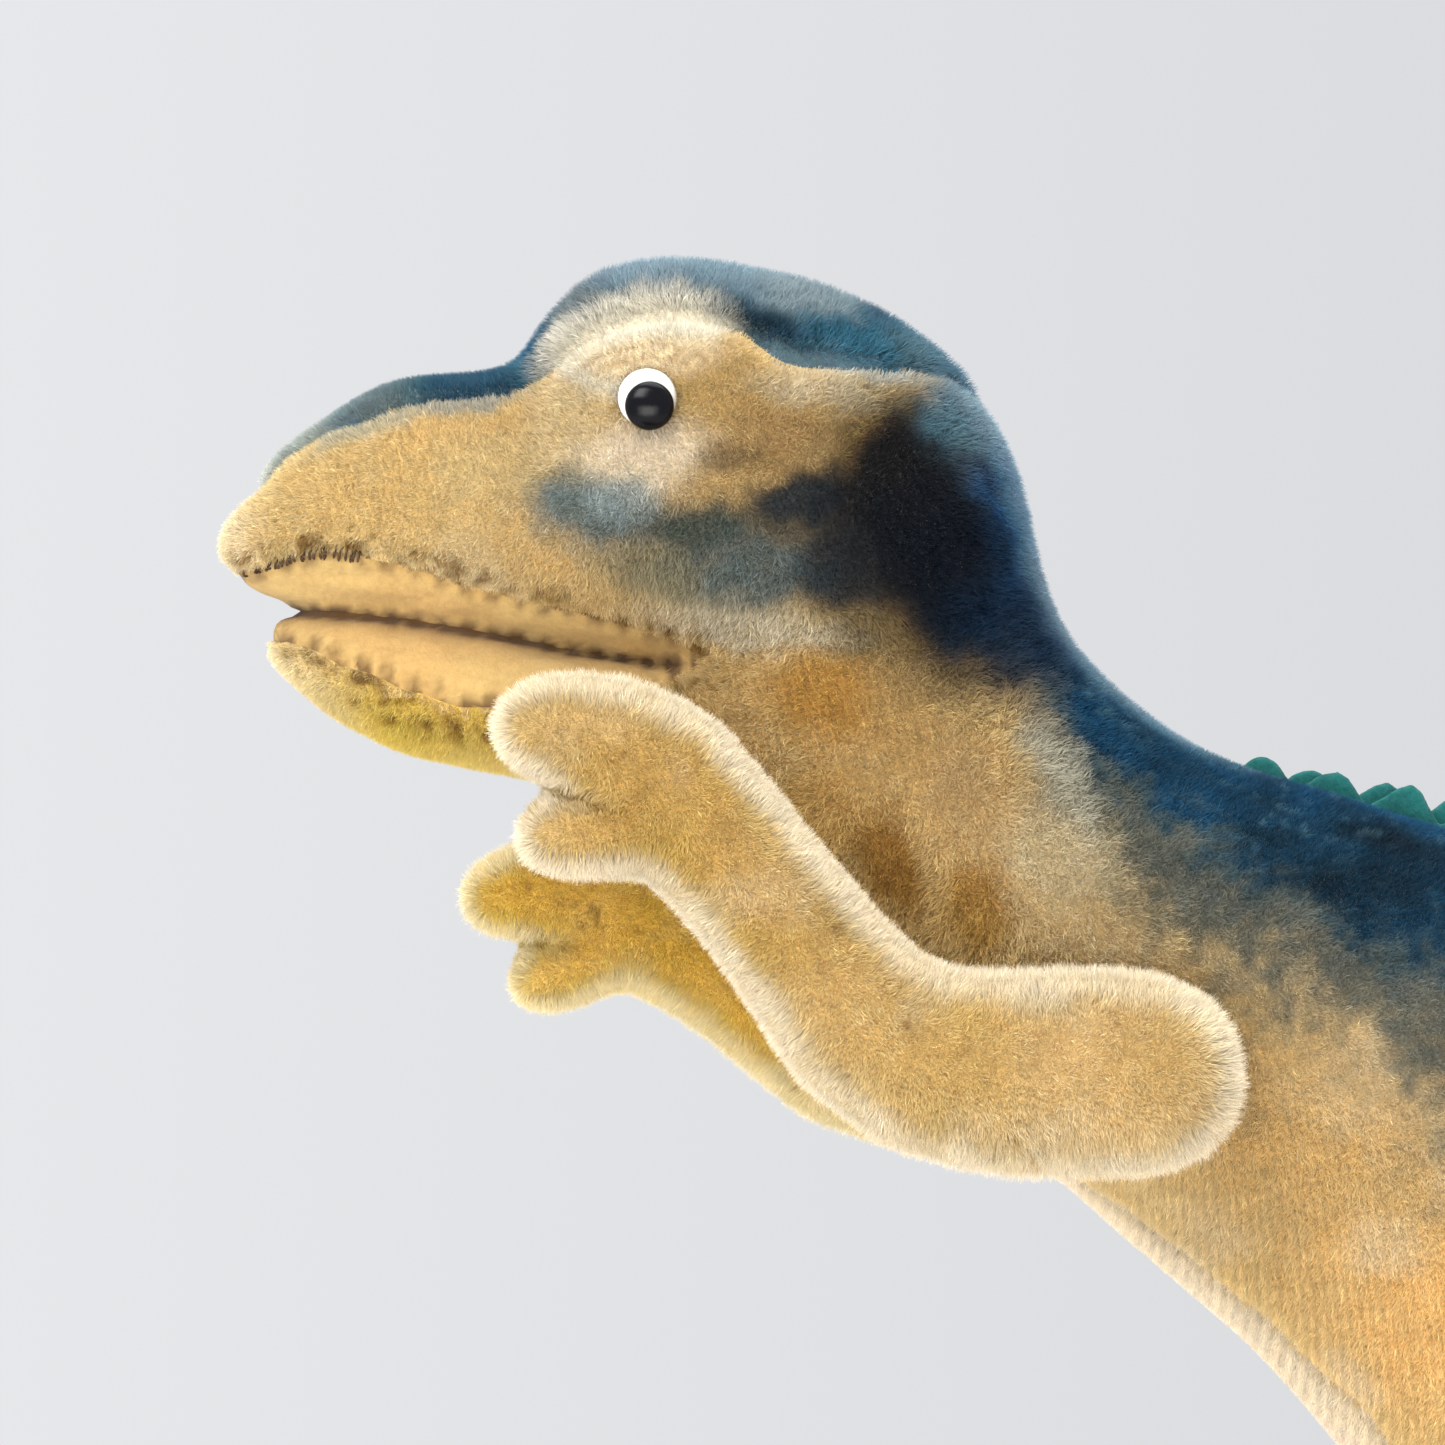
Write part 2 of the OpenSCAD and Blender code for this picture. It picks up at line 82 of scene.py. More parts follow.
def joined(names):
    """The points, triangles and node number of each triangle of several CAD nodes."""
    vs, ts, which, base = [], [], [], 0
    for k, name in enumerate(names):
        v, t = node_arrays(name)
        vs.append(v)
        ts.append(t + base)
        which.append(np.full(len(t), k))
        base += len(v)
    return np.vstack(vs), np.vstack(ts), np.concatenate(which)


def smooth_noise(p, size, seed):
    """Value noise from -1 to 1 at points p, with features about size across."""
    q = p / size + seed * 13.7
    cell = np.floor(q).astype(np.int64)
    f = q - cell
    f = f * f * (3 - 2 * f)
    out = np.zeros(len(p))
    for dx, dy, dz in np.ndindex(2, 2, 2):
        n = (
            (cell[:, 0] + dx) * 73856093
            ^ (cell[:, 1] + dy) * 19349663
            ^ (cell[:, 2] + dz) * 83492791
            ^ (seed * 668265263)
        )
        n = ((n ^ (n >> 13)) * 1274126177) & 0xFFFFFFFF
        n = ((n ^ (n >> 15)) * 2246822519) & 0xFFFFFFFF
        value = (n & 0xFFFF) / 32767.5 - 1
        wx = f[:, 0] if dx else 1 - f[:, 0]
        wy = f[:, 1] if dy else 1 - f[:, 1]
        wz = f[:, 2] if dz else 1 - f[:, 2]
        out += wx * wy * wz * value
    return out


def step(x, low, high):
    """0 below low, 1 above high, smooth between."""
    t = np.clip((x - low) / (high - low), 0, 1)
    return t * t * (3 - 2 * t)


def bump(p, y, z, ry, rz, turn=0.0):
    """1 at a place in the side view, in millimetres, falling to 0 about ry, rz away."""
    a = math.radians(turn)
    dy, dz = p[:, 1] * 1000 - y, p[:, 2] * 1000 - z
    u = (dy * math.cos(a) + dz * math.sin(a)) / ry
    v = (dz * math.cos(a) - dy * math.sin(a)) / rz
    return np.exp(-(u * u + v * v))


# ---------------------------------------------------------------- one skin per group
def blur(a, axis, sigma):
    """Gaussian blur of a dense array along one axis."""
    r = int(math.ceil(2.5 * sigma))
    k = np.exp(-0.5 * (np.arange(-r, r + 1) / sigma) ** 2)
    k /= k.sum()
    pad = [(0, 0)] * 3
    pad[axis] = (r, r)
    b = np.pad(a, pad, mode="edge")
    out = np.zeros_like(a)
    n = a.shape[axis]
    for i, w in enumerate(k):
        cut = [slice(None)] * 3
        cut[axis] = slice(i, i + n)
        out += np.float32(w) * b[tuple(cut)]
    return out


def skin_of(names, voxel, sigma):
    """A smooth closed quad surface round several CAD nodes."""
    v, t, _ = joined(names)
    xf = openvdb.createLinearTransform(voxelSize=voxel)
    grid = openvdb.FloatGrid.createLevelSetFromPolygons(
        v.astype(np.float32), triangles=t.astype(np.uint32), transform=xf, halfWidth=5.0
    )
    lo, hi = grid.evalActiveVoxelBoundingBox()
    lo = tuple(int(x) - 4 for x in lo)
    shape = tuple(int(h) - l + 5 for h, l in zip(hi, lo))
    dense = np.zeros(shape, np.float32)
    grid.copyToArray(dense, ijk=lo)
    for axis in range(3):
        dense = blur(dense, axis, sigma)
    out = openvdb.FloatGrid(5 * voxel)
    out.transform = xf
    out.copyFromArray(dense, ijk=lo)
    points, tris, quads = out.convertToPolygons(isovalue=0.0, adaptivity=0.0)
    points, quads = np.asarray(points, np.float64), np.asarray(quads, np.int64)
    a, b, c = (points[quads[:, i]] for i in range(3))
    if (a * np.cross(b, c)).sum() < 0:
        quads = quads[:, ::-1]
    return points, quads


def face_edges(quads):
    """The four edges of every face, each from its lower to its higher point."""
    e = np.concatenate([quads[:, [i, (i + 1) % 4]] for i in range(4)])
    e.sort(axis=1)
    return e


def edges_of(quads):
    """Every edge once."""
    return np.unique(face_edges(quads), axis=0)


def spread(edges, values, n):
    """The mean of each point's neighbours."""
    deg = np.bincount(edges.ravel(), minlength=n).astype(float)
    deg[deg == 0] = 1
    if values.ndim == 1:
        s = np.bincount(edges[:, 0], values[edges[:, 1]], n)
        s += np.bincount(edges[:, 1], values[edges[:, 0]], n)
        return s / deg
    return np.stack([spread(edges, values[:, k], n) for k in range(values.shape[1])], 1)


def relax(points, edges, weight, rounds):
    """Laplacian smoothing with a weight for each point."""
    for _ in range(rounds):
        points = points + weight[:, None] * (spread(edges, points, len(points)) - points)
    return points


def normals_of(points, quads):
    """Each point's normal, from the faces round it."""
    a = points[quads[:, 2]] - points[quads[:, 0]]
    b = points[quads[:, 3]] - points[quads[:, 1]]
    fn = np.cross(a, b)
    n = np.zeros_like(points)
    for k in range(3):
        for c in range(4):
            n[:, k] += np.bincount(quads[:, c], fn[:, k], len(points))
    length = np.linalg.norm(n, axis=1)
    length[length == 0] = 1
    return n / length[:, None]


def label_faces(points, quads, names):
    """Which of the named CAD skins lies nearest to each face."""
    v, t, which = joined(names)
    tree = BVHTree.FromPolygons(v.tolist(), t.tolist())
    centre = points[quads].mean(1)
    find = tree.find_nearest
    return np.array([which[find(c)[2]] for c in centre.tolist()])


def tidy_labels(quads, label, n, rounds=3):
    """Takes single odd faces out of the seams by a vote round each point."""
    kinds = int(label.max()) + 1
    for _ in range(rounds):
        votes = np.zeros((n, kinds))
        for k in range(kinds):
            for c in range(4):
                votes[:, k] += np.bincount(quads[:, c], (label == k).astype(float), n)
        label = votes[quads].sum(1).argmax(1)
    return label


def seam_points(quads, label, n):
    """The edges between faces of different panels, and 1 at each point on one."""
    e = face_edges(quads)
    f = np.tile(np.arange(len(quads)), 4)
    order = np.lexsort((e[:, 1], e[:, 0]))
    e, f = e[order], f[order]
    same = (e[1:] == e[:-1]).all(1)
    i = np.nonzero(same)[0]
    cut = i[label[f[i]] != label[f[i + 1]]]
    on = np.zeros(n)
    on[e[cut].ravel()] = 1
    return e[cut], on


def straighten(points, seam, rounds=14):
    """Slides the seam points along the seam, so that it runs smoothly."""
    n = len(points)
    deg = np.bincount(seam.ravel(), minlength=n)
    move = (deg == 2).astype(float)[:, None]
    for _ in range(rounds):
        points = points + 0.5 * move * (spread(seam, points, n) - points)
    return points


class Group:
    """The skin of one stuffed part, cut into its cloth panels."""

    def __init__(self, skins, inner, voxel, sigma):
        self.skins = skins
        self.points, self.quads = skin_of(skins + inner, voxel, sigma)
        self.edges = edges_of(self.quads)
        self.n = len(self.points)

    def cut(self):
        self.label = tidy_labels(
            self.quads, label_faces(self.points, self.quads, self.skins), self.n
        )
        self.seam, self.on_seam = seam_points(self.quads, self.label, self.n)
        self.points = straighten(self.points, self.seam)
        near = self.on_seam.copy()
        for _ in range(4):
            near = np.maximum(near, spread(self.edges, near, self.n) * 1.25)
            near = np.clip(near, 0, 1)
        self.near = near
        self.wide = near.copy()
        for _ in range(10):
            self.wide = 0.5 * self.wide + 0.5 * spread(self.edges, self.wide, self.n)

    def move(self, amount):
        """Moves each point along its normal, in millimetres."""
        normal = normals_of(self.points, self.quads)
        self.points = self.points + normal * (amount * MM)[:, None]

    def panel(self, k):
        """The points and faces of one panel, and where its points are in the whole."""
        faces = self.quads[self.label == k]
        used, inverse = np.unique(faces, return_inverse=True)
        return used, inverse.reshape(-1, 4)


def carry(source, values, cell, target):
    """Values at one set of points carried over to another through a coarse blurred grid."""
    low = np.minimum(source.min(0), target.min(0)) - 4 * cell
    shape = tuple(((np.maximum(source.max(0), target.max(0)) - low) / cell).astype(int) + 6)
    index = np.ravel_multi_index(np.round((source - low) / cell).astype(int).T, shape)
    size = int(np.prod(shape))
    columns = [np.ones(len(source))] + [values[:, k] for k in range(values.shape[1])]
    grids = []
    for column in columns:
        grid = np.bincount(index, column, size).reshape(shape).astype(np.float32)
        for axis in range(3):
            grid = blur(grid, axis, 0.9)
        grids.append(grid)
    q = (target - low) / cell
    corner = np.floor(q).astype(int)
    f = q - corner
    out = np.zeros((len(target), len(columns)))
    for dx, dy, dz in np.ndindex(2, 2, 2):
        w = np.abs(1 - dx - f[:, 0]) * np.abs(1 - dy - f[:, 1]) * np.abs(1 - dz - f[:, 2])
        at = (corner[:, 0] + dx, corner[:, 1] + dy, corner[:, 2] + dz)
        for k, grid in enumerate(grids):
            out[:, k] += w * grid[at]
    return out[:, 1:] / np.maximum(out[:, :1], 1e-6)


def press_out(g, cell, held, cap, frames=20):
    """The stuffing presses the cloth out between its seams.

    A coarse copy of the skin, a little smaller, is simulated as cloth under pressure and held
    where held is near 1. Its bulges and wrinkles move the fine skin, at most cap millimetres.
    """
    start = g.points - normals_of(g.points, g.quads) * 0.5 * cap * MM
    ob = new_mesh("cloth_copy", start, g.quads)
    remesh = ob.modifiers.new("coarse", "REMESH")
    remesh.mode = "VOXEL"
    remesh.voxel_size = cell
    bpy.context.view_layer.objects.active = ob
    bpy.ops.object.modifier_apply(modifier="coarse")
    n = len(ob.data.vertices)
    before = np.empty(n * 3, np.float32)
    ob.data.vertices.foreach_get("co", before)
    before = before.reshape(-1, 3).astype(float)
    pins = np.clip(carry(start, held[:, None], cell, before)[:, 0], 0, 1)
    group = ob.vertex_groups.new(name="held")
    for k, weight in enumerate(pins.tolist()):
        group.add([k], weight, "REPLACE")
    cloth = ob.modifiers.new("cloth", "CLOTH")
    settings = cloth.settings
    settings.quality = 5
    settings.mass = 0.3
    settings.tension_stiffness = settings.compression_stiffness = 12
    settings.shear_stiffness = 4
    settings.bending_stiffness = 0.4
    settings.use_pressure = True
    settings.uniform_pressure_force = 4
    settings.vertex_group_mass = "held"
    settings.effector_weights.gravity = 0
    cloth.point_cache.frame_start = 1
    cloth.point_cache.frame_end = frames
    for k in range(1, frames + 1):
        scene.frame_set(k)
    bpy.ops.object.modifier_apply(modifier="cloth")
    after = np.empty(n * 3, np.float32)
    ob.data.vertices.foreach_get("co", after)
    shift = after.reshape(-1, 3) - before
    scene.frame_set(1)
    bpy.data.objects.remove(ob)
    shift = carry(before, shift, cell * 0.8, g.points)
    normal = normals_of(g.points, g.quads)
    out = (shift * normal).sum(1)
    out = (out - np.median(out)) * 1000 * (1 - 0.6 * np.clip(held, 0, 1))
    g.move(np.clip(out, -cap, cap))


def pack_stuffing(g, names, body, inset=1.6):
    """The stuffing just under a group's skin, cut where the CAD's stuffing nodes meet."""
    inside = g.points - normals_of(g.points, g.quads) * inset * MM
    label = label_faces(inside, g.quads, names) if len(names) > 1 else np.zeros(len(g.quads), int)
    for k, name in enumerate(names):
        used, inverse = np.unique(g.quads[label == k], return_inverse=True)
        ob = new_mesh(name + "_pack", inside[used], inverse.reshape(-1, 4))
        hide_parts(name)
        dress(ob, "stuffing")
        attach(ob, body)


def new_mesh(name, points, faces, tint=None, extra=None):
    """A smooth-shaded object from arrays, with its colours and other values at the points."""
    me = bpy.data.meshes.new(name)
    n, m, k = len(points), len(faces), faces.shape[1]
    me.vertices.add(n)
    me.vertices.foreach_set("co", points.astype(np.float32).ravel())
    me.loops.add(m * k)
    me.loops.foreach_set("vertex_index", faces.astype(np.int32).ravel())
    me.polygons.add(m)
    me.polygons.foreach_set("loop_start", np.arange(0, m * k, k, dtype=np.int32))
    me.update(calc_edges=True)
    me.polygons.foreach_set("use_smooth", np.ones(m, bool))
    if tint is not None:
        a = me.attributes.new("tint", "FLOAT_COLOR", "POINT")
        a.data.foreach_set("color", np.c_[tint, np.ones(n)].astype(np.float32).ravel())
    for key, values in (extra or {}).items():
        a = me.attributes.new(key, "FLOAT", "POINT")
        a.data.foreach_set("value", values.astype(np.float32))
    me.validate()
    ob = bpy.data.objects.new(name, me)
    scene.collection.objects.link(ob)
    return ob


# ---------------------------------------------------------------- sprayed colours
# The shoulder pins in the side view, and how far the right arm hangs below the left one, in degrees.
SHOULDER = (-0.144, 0.325)
FAR_TURN = 18.0
TAN = (0.66, 0.44, 0.18)
# Place in the side view in mm (y, z), half size (y, z), turn in degrees, colour, strength.
SNOUT_SPRAY = [
    (-238, 396, 26, 9, 12, (0.66, 0.46, 0.19), 0.9),
    (-240, 387, 20, 4, 0, (0.70, 0.52, 0.25), 0.7),
    (-258, 392, 5, 7, 0, (0.74, 0.60, 0.38), 0.5),
    (-222, 402, 9, 5, 10, (0.62, 0.50, 0.26), 0.45),
    (-226, 388, 5, 8, 10, (0.70, 0.56, 0.32), 0.45),
]
HEAD_SPRAY = [
    (-240, 406.2, 9, 1.8, 25, (0.36, 0.35, 0.26), 0.7),
    (-226.5, 409.8, 9, 1.8, 5, (0.20, 0.25, 0.25), 0.7),
    (-212, 407, 7, 6, 20, (0.68, 0.52, 0.27), 0.8),
    (-193, 408, 10, 7, -30, (0.45, 0.30, 0.12), 0.75),
    (-181, 409.5, 10, 2.6, -8, (0.60, 0.50, 0.32), 0.8),
    (-187, 404, 8, 5, 10, (0.34, 0.21, 0.09), 0.65),
    (-204, 402, 9.5, 4.6, 2, (0.80, 0.68, 0.49), 0.92),
    (-194, 401.5, 5, 2.2, 16, (0.16, 0.11, 0.06), 0.6),
    (-214, 398.5, 4, 3, 40, (0.30, 0.26, 0.16), 0.5),
    (-211, 395.5, 8.5, 5, -14, (0.13, 0.185, 0.195), 0.9),
    (-206.5, 396.8, 5.5, 2.8, -8, (0.33, 0.40, 0.40), 0.75),
    (-197, 393.0, 10, 4.6, -4, (0.040, 0.070, 0.075), 0.92),
    (-200, 388.0, 11, 3.2, -8, (0.16, 0.17, 0.125), 0.75),
    (-187, 387.8, 10, 5.4, 6, (0.085, 0.130, 0.14), 0.9),
    (-183, 396, 9, 4.4, 10, (0.010, 0.026, 0.042), 0.95),
    (-190, 381.4, 15, 3.5, -10, (0.60, 0.51, 0.33), 0.9),
    (-176, 389, 8, 8, 0, (0.014, 0.032, 0.050), 0.9),
    (-169, 398, 13, 16, 0, (0.006, 0.009, 0.014), 0.98),
    (-163, 387, 13, 16, -8, (0.005, 0.010, 0.018), 0.99),
    (-156, 379, 11, 10, -35, (0.008, 0.026, 0.050), 0.95),
    (-157, 398, 4.6, 13, 12, (0.014, 0.065, 0.125), 0.9),
    (-164, 408, 7, 5.5, -30, (0.08, 0.14, 0.17), 0.92),
    (-176, 413.5, 8, 2.4, -5, (0.32, 0.35, 0.32), 0.8),
]
NECK_SPRAY = [
    (-180, 371, 8, 6, 0, (0.50, 0.25, 0.05), 0.75),
    (-176.5, 378.5, 4.6, 3.2, 0, (0.11, 0.075, 0.03), 0.75),
    (-171, 368, 5, 7, 10, (0.54, 0.33, 0.12), 0.6),
    (-172, 350, 4.5, 10, 24, (0.26, 0.10, 0.012), 0.75),
    (-181, 356, 6, 7, 0, (0.56, 0.31, 0.08), 0.55),
    (-163, 359, 5, 8, 10, (0.52, 0.35, 0.17), 0.6),
    (-161, 345, 5, 6, 10, (0.39, 0.18, 0.03), 0.7),
    (-152, 351, 8, 8, -30, (0.66, 0.54, 0.32), 0.75),
    (-152, 361, 3.4, 8, 35, (0.42, 0.40, 0.30), 0.7),
    (-145, 338, 10, 6, -30, (0.66, 0.48, 0.24), 0.6),
]
GUSSET_SPRAY = [
    (-250, 404, 9, 6, 15, (0.28, 0.30, 0.25), 0.85),
    (-257, 400, 5, 5, 0, (0.46, 0.46, 0.38), 0.8),
    (-238, 411, 8, 5, 8, (0.12, 0.15, 0.145), 0.85),
    (-226, 412, 9, 5, 4, (0.030, 0.070, 0.095), 0.9),
    (-216, 416, 4, 6, 40, (0.035, 0.10, 0.15), 0.9),
    (-210, 423, 5, 4, 30, (0.17, 0.21, 0.22), 0.8),
    (-201, 427, 8, 4, 3, (0.27, 0.37, 0.42), 0.88),
    (-191, 424.4, 7, 4, -14, (0.25, 0.35, 0.40), 0.85),
    (-189, 419.5, 7, 3.2, -14, (0.020, 0.050, 0.070), 0.9),
    (-182, 422.4, 8, 3.2, -14, (0.28, 0.35, 0.36), 0.85),
    (-177, 416.6, 7, 3.0, -25, (0.05, 0.135, 0.195), 0.85),
    (-166, 412, 8, 3.6, -40, (0.085, 0.135, 0.16), 0.85),
    (-159, 404, 6, 12, 30, (0.05, 0.10, 0.15), 0.8),
]
# The edges of the lips in the side view: y and z in mm.
UPPER_LIP = (
    [-259, -247, -240, -230, -220, -210, -203, -196, -190],
    [386.5, 389.2, 389.0, 386.2, 383.4, 380.9, 379.1, 376.2, 374],
)
LOWER_LIP = (
    [-255, -246, -236.4, -228.7, -220, -212, -204, -196, -190],
    [377.8, 375.8, 371.4, 369, 368, 368.5, 370.5, 373.2, 374],
)
# Where the felts meet in the open mouth.
MOUTH_LINE = (
    [-270, -254, -246, -236, -224, -212, -200, -194],
    [382.6, 382.4, 382.2, 381.4, 379.4, 377.0, 375.4, 375.2],
)
# How far the blue of the back reaches from the back line, in mm, at each y.
STRIPE_REACH = (
    [-152, -146, -139, -126, -107, -60, 0, 80, 170, 250],
    [32, 33.5, 34.5, 40, 44, 48, 45, 32, 21, 12],
)
# One scallop of the brown specks along a lip, in mm.
LIP_SCALLOP = 3.4
BROW = (-205.3, 417.0, 11.8, 6.5, 8, (0.67, 0.61, 0.47))


def spray(p, colour, zones, warp):
    """Airbrush zones over a base colour, with ragged soft edges."""
    q = p + warp
    for y, z, ry, rz, turn, tone, strength in zones:
        w = strength * step(bump(q, y, z, ry, rz, turn), 0.09, 0.85)
        colour = colour + w[:, None] * (np.array(tone) - colour)
    return colour


def lay(colour, share, tone):
    """Lays a tone over the colours, in place, by each point's share."""
    colour += share[:, None] * (np.array(tone) - colour)


def edge_warp(p):
    """The shift that makes sprayed edges ragged."""
    return np.stack(
        [
            smooth_noise(p, 9 * MM, s) * 1.6 * MM + smooth_noise(p, 2.5 * MM, s + 5) * 1.1 * MM
            for s in (1, 2, 3)
        ],
        1,
    )


def back_distance(p, back):
    """How far each point is from the line along the back, in mm."""
    best = np.full(len(p), 1e9)
    a, b = back[:-1], back[1:]
    for s, e in zip(a, b):
        d = e - s
        t = np.clip(((p - s) @ d) / (d @ d), 0, 1)
        best = np.minimum(best, ((p - s - t[:, None] * d) ** 2).sum(1))
    return np.sqrt(best) * 1000


def back_line():
    """The line along the back and tail, from the root of the comb."""
    v, _ = node_arrays("crest_left")
    ys = np.linspace(v[:, 1].min(), v[:, 1].max(), 40)
    out = []
    for a, b in zip(ys[:-1], ys[1:]):
        in_slice = v[(v[:, 1] >= a - 0.004) & (v[:, 1] <= b + 0.004)]
        if len(in_slice):
            out.append((0.0, (a + b) / 2, in_slice[:, 2].min()))
    return np.array([(0.0, -0.170, 0.412), (0.0, -0.152, 0.392), (0.0, -0.143, 0.375)] + out)


BACK = back_line()


def fibre(colour):
    """The dye for a fibre so that a dense pile of them shows this colour."""
    shown = [0, 0.03, 0.1, 0.2, 0.46, 0.69, 0.8]
    return colour * np.interp(colour, shown, [0.5, 0.85, 1.3, 1.28, 1.03, 0.88, 0.84])


def torso_colour(p, part):
    """Sprayed colour of the body at points p, given each point's panel name."""
    warp = edge_warp(p)
    q = p + warp
    y, z, x = q[:, 1] * 1000, q[:, 2] * 1000, np.abs(q[:, 0]) * 1000
    colour = np.tile(np.array(TAN), (len(p), 1))
    mottle = smooth_noise(p, 16 * MM, 21)
    # Flanks: warm tan that turns cream towards the belly
    warm = step(y, -146, -90)
    lay(colour, warm * (0.5 + 0.3 * mottle), (0.92, 0.52, 0.16))
    dusty = step(y, -150, -120) * step(smooth_noise(p, 9 * MM, 22), 0.0, 0.8)
    lay(colour, 0.5 * dusty, (0.76, 0.60, 0.36))
    colour = spray(p, colour, SNOUT_SPRAY, warp)
    # Back stripe
    d = back_distance(q, BACK)
    body = step(y, -160, -147)
    growth = np.interp(y, *STRIPE_REACH)
    ragged = growth + 4 * smooth_noise(p, 22 * MM, 31) + 2.5 * smooth_noise(p, 7 * MM, 32)
    ragged += 3.5 * smooth_noise(p, 1.6 * MM, 34)
    border = body * (1 - step(d, ragged + 2, ragged + 17))
    lay(colour, 0.75 * border, (0.32, 0.27, 0.17))
    shade = body * (1 - step(d, ragged - 1, ragged + 8))
    lay(colour, 0.8 * shade, (0.075, 0.10, 0.095))
    core = body * (1 - step(d, ragged - 12, ragged + 1))
    uneven = 1 + 0.35 * mottle + 0.4 * smooth_noise(p, 5 * MM, 35)
    lay(colour, 0.97 * core, np.array((0.006, 0.040, 0.069)) * uneven[:, None])
    frost = core * step(smooth_noise(p, 1.4 * MM, 40), 0.1, 0.8)
    frost = frost * step(smooth_noise(p, 12 * MM, 46), -0.7, 0.4)
    lay(colour, 0.4 * frost, (0.09, 0.15, 0.17))
    # Cream chest and belly with a yellow line along the seam
    belly = part == "belly_panel"
    cream = np.array((0.80, 0.64, 0.40)) + 0.05 * mottle[:, None]
    colour = np.where(belly[:, None], cream, colour)
    chin = part == "chin_panel"
    olive = np.array((0.60, 0.40, 0.085)) + 0.05 * mottle[:, None]
    front = step(-y, 236, 254)[:, None]
    olive = olive * (1 - front) + front * np.array((0.70, 0.53, 0.27))
    colour = np.where(chin[:, None], olive, colour)
    # Head and neck
    side = ~(belly | chin)
    headed = spray(p, colour, NECK_SPRAY, warp)
    headed = spray(p, headed, HEAD_SPRAY, warp)
    colour = np.where(side[:, None], headed, colour)
    # Painted highlight: a paler blue-grey along the middle of the neck's back, standing for the bright
    # rim at the outline.
    painted_rim_light = (1 - step(x, 4, 13)) * side * step(-y, 118, 132) * step(y, -190, -178)
    lay(colour, 0.5 * painted_rim_light, (0.24, 0.33, 0.38))
    gusset = part == "head_gusset"
    crown = np.array((0.07, 0.13, 0.17)) * (1 + 0.4 * smooth_noise(p, 6 * MM, 36))[:, None]
    # Painted shade: the crown is 30 per cent darker towards its top, against the light from above.
    crown = spray(p, crown, GUSSET_SPRAY, warp) * (1 - 0.3 * step(z, 412, 420))[:, None]
    colour = np.where(gusset[:, None], crown, colour)
    brow = step(bump(q, *BROW[:5]), 0.2, 0.6) * (side | gusset) * step(x, 6, 9)
    lay(colour, brow, BROW[5])
    lid = step(bump(p, -202.5, 414.8, 11.5, 3.4, 3), 0.25, 0.8) * side
    lay(colour, 0.75 * lid, (0.74, 0.58, 0.34))
    ring = np.hypot((p[:, 1] * 1000 + 203) / 1.35, p[:, 2] * 1000 - 408)
    for r, width in ((5.4, 0.30), (6.9, 0.42), (8.4, 0.30)):
        crease = np.exp(-(((ring - r + 0.3 * smooth_noise(p, 3 * MM, 39)) / width) ** 2)) * lid
        lay(colour, 0.55 * crease, (0.30, 0.17, 0.07))
    # Brown thread showing in scallops along both lips
    scallop = 0.6 * np.sin(y * 2 * math.pi / LIP_SCALLOP) + 0.5 * smooth_noise(p, 2.0 * MM, 33)
    for line, reach, above in ((UPPER_LIP, 2.0, 1.5), (LOWER_LIP, 1.3, -0.9)):
        lip = z - np.interp(y, *line) - scallop * 0.7 - above
        speck = np.exp(-((lip / reach) ** 2)) * step(-y, 188, 196) * step(x, 3, 8)
        speck *= step(smooth_noise(p, 1.2 * MM, 37), -0.5, 0.5)
        lay(colour, 0.9 * speck, (0.11, 0.05, 0.018))
    return np.clip(colour, 0.003, 1)


def arm_colour(p, edge_share, inner, far):
    """Colour of an arm: tan faces with cream pile along the seams."""
    mottle = smooth_noise(p, 12 * MM, 41)
    # Painted shade: the forearm is darker than the upper arm, against the stronger light on its tilted
    # face.
    fore = step(turned(p, far)[:, 2] * 1000, 328, 345)[:, None]
    base = np.array((0.65, 0.44, 0.18)) - fore * np.array((0.09, 0.085, 0.07))
    # The far arm is a yellower olive, and its inner face is lighter to offset the shade it hangs in:
    # partly painted light.
    base = base if not far else np.array((0.58, 0.34, 0.065))
    under = np.array((0.68, 0.48, 0.22)) if not far else np.array((0.74, 0.46, 0.08))
    colour = np.where(inner[:, None], under, base) + 0.04 * mottle[:, None]
    dusty = step(smooth_noise(p, 7 * MM, 42) + 0.25 * smooth_noise(p, 2 * MM, 43), -0.1, 0.9)
    edge = np.array((0.74, 0.60, 0.38)) if not far else np.array((0.78, 0.62, 0.30))
    lay(colour, 0.28 * dusty, edge)
    lay(colour, edge_share, edge)
    flecks = step(smooth_noise(p, 1.1 * MM, 44) + 0.8 * smooth_noise(p, 8 * MM, 45), 1.05, 1.35)
    lay(colour, 0.7 * flecks, (0.26, 0.14, 0.05))
    for place, size in (((-217.3, 357.0), 3.0), ((-212.0, 359.6), 2.4)):
        q = turned(p, far)
        worn = step(bump(q, place[0], place[1], size, size * 0.8), 0.3, 0.8)
        lay(colour, 0.7 * worn, (0.40, 0.25, 0.08))
    return np.clip(colour, 0.003, 1)


def turned(p, far):
    """Points of the far arm as they would lie if it hung at the near arm's angle."""
    if not far:
        return p
    a = math.radians(FAR_TURN)
    y, z = p[:, 1] - SHOULDER[0], p[:, 2] - SHOULDER[1]
    return np.stack([p[:, 0], SHOULDER[0] + y * math.cos(a) + z * math.sin(a),
                     SHOULDER[1] + z * math.cos(a) - y * math.sin(a)], 1)


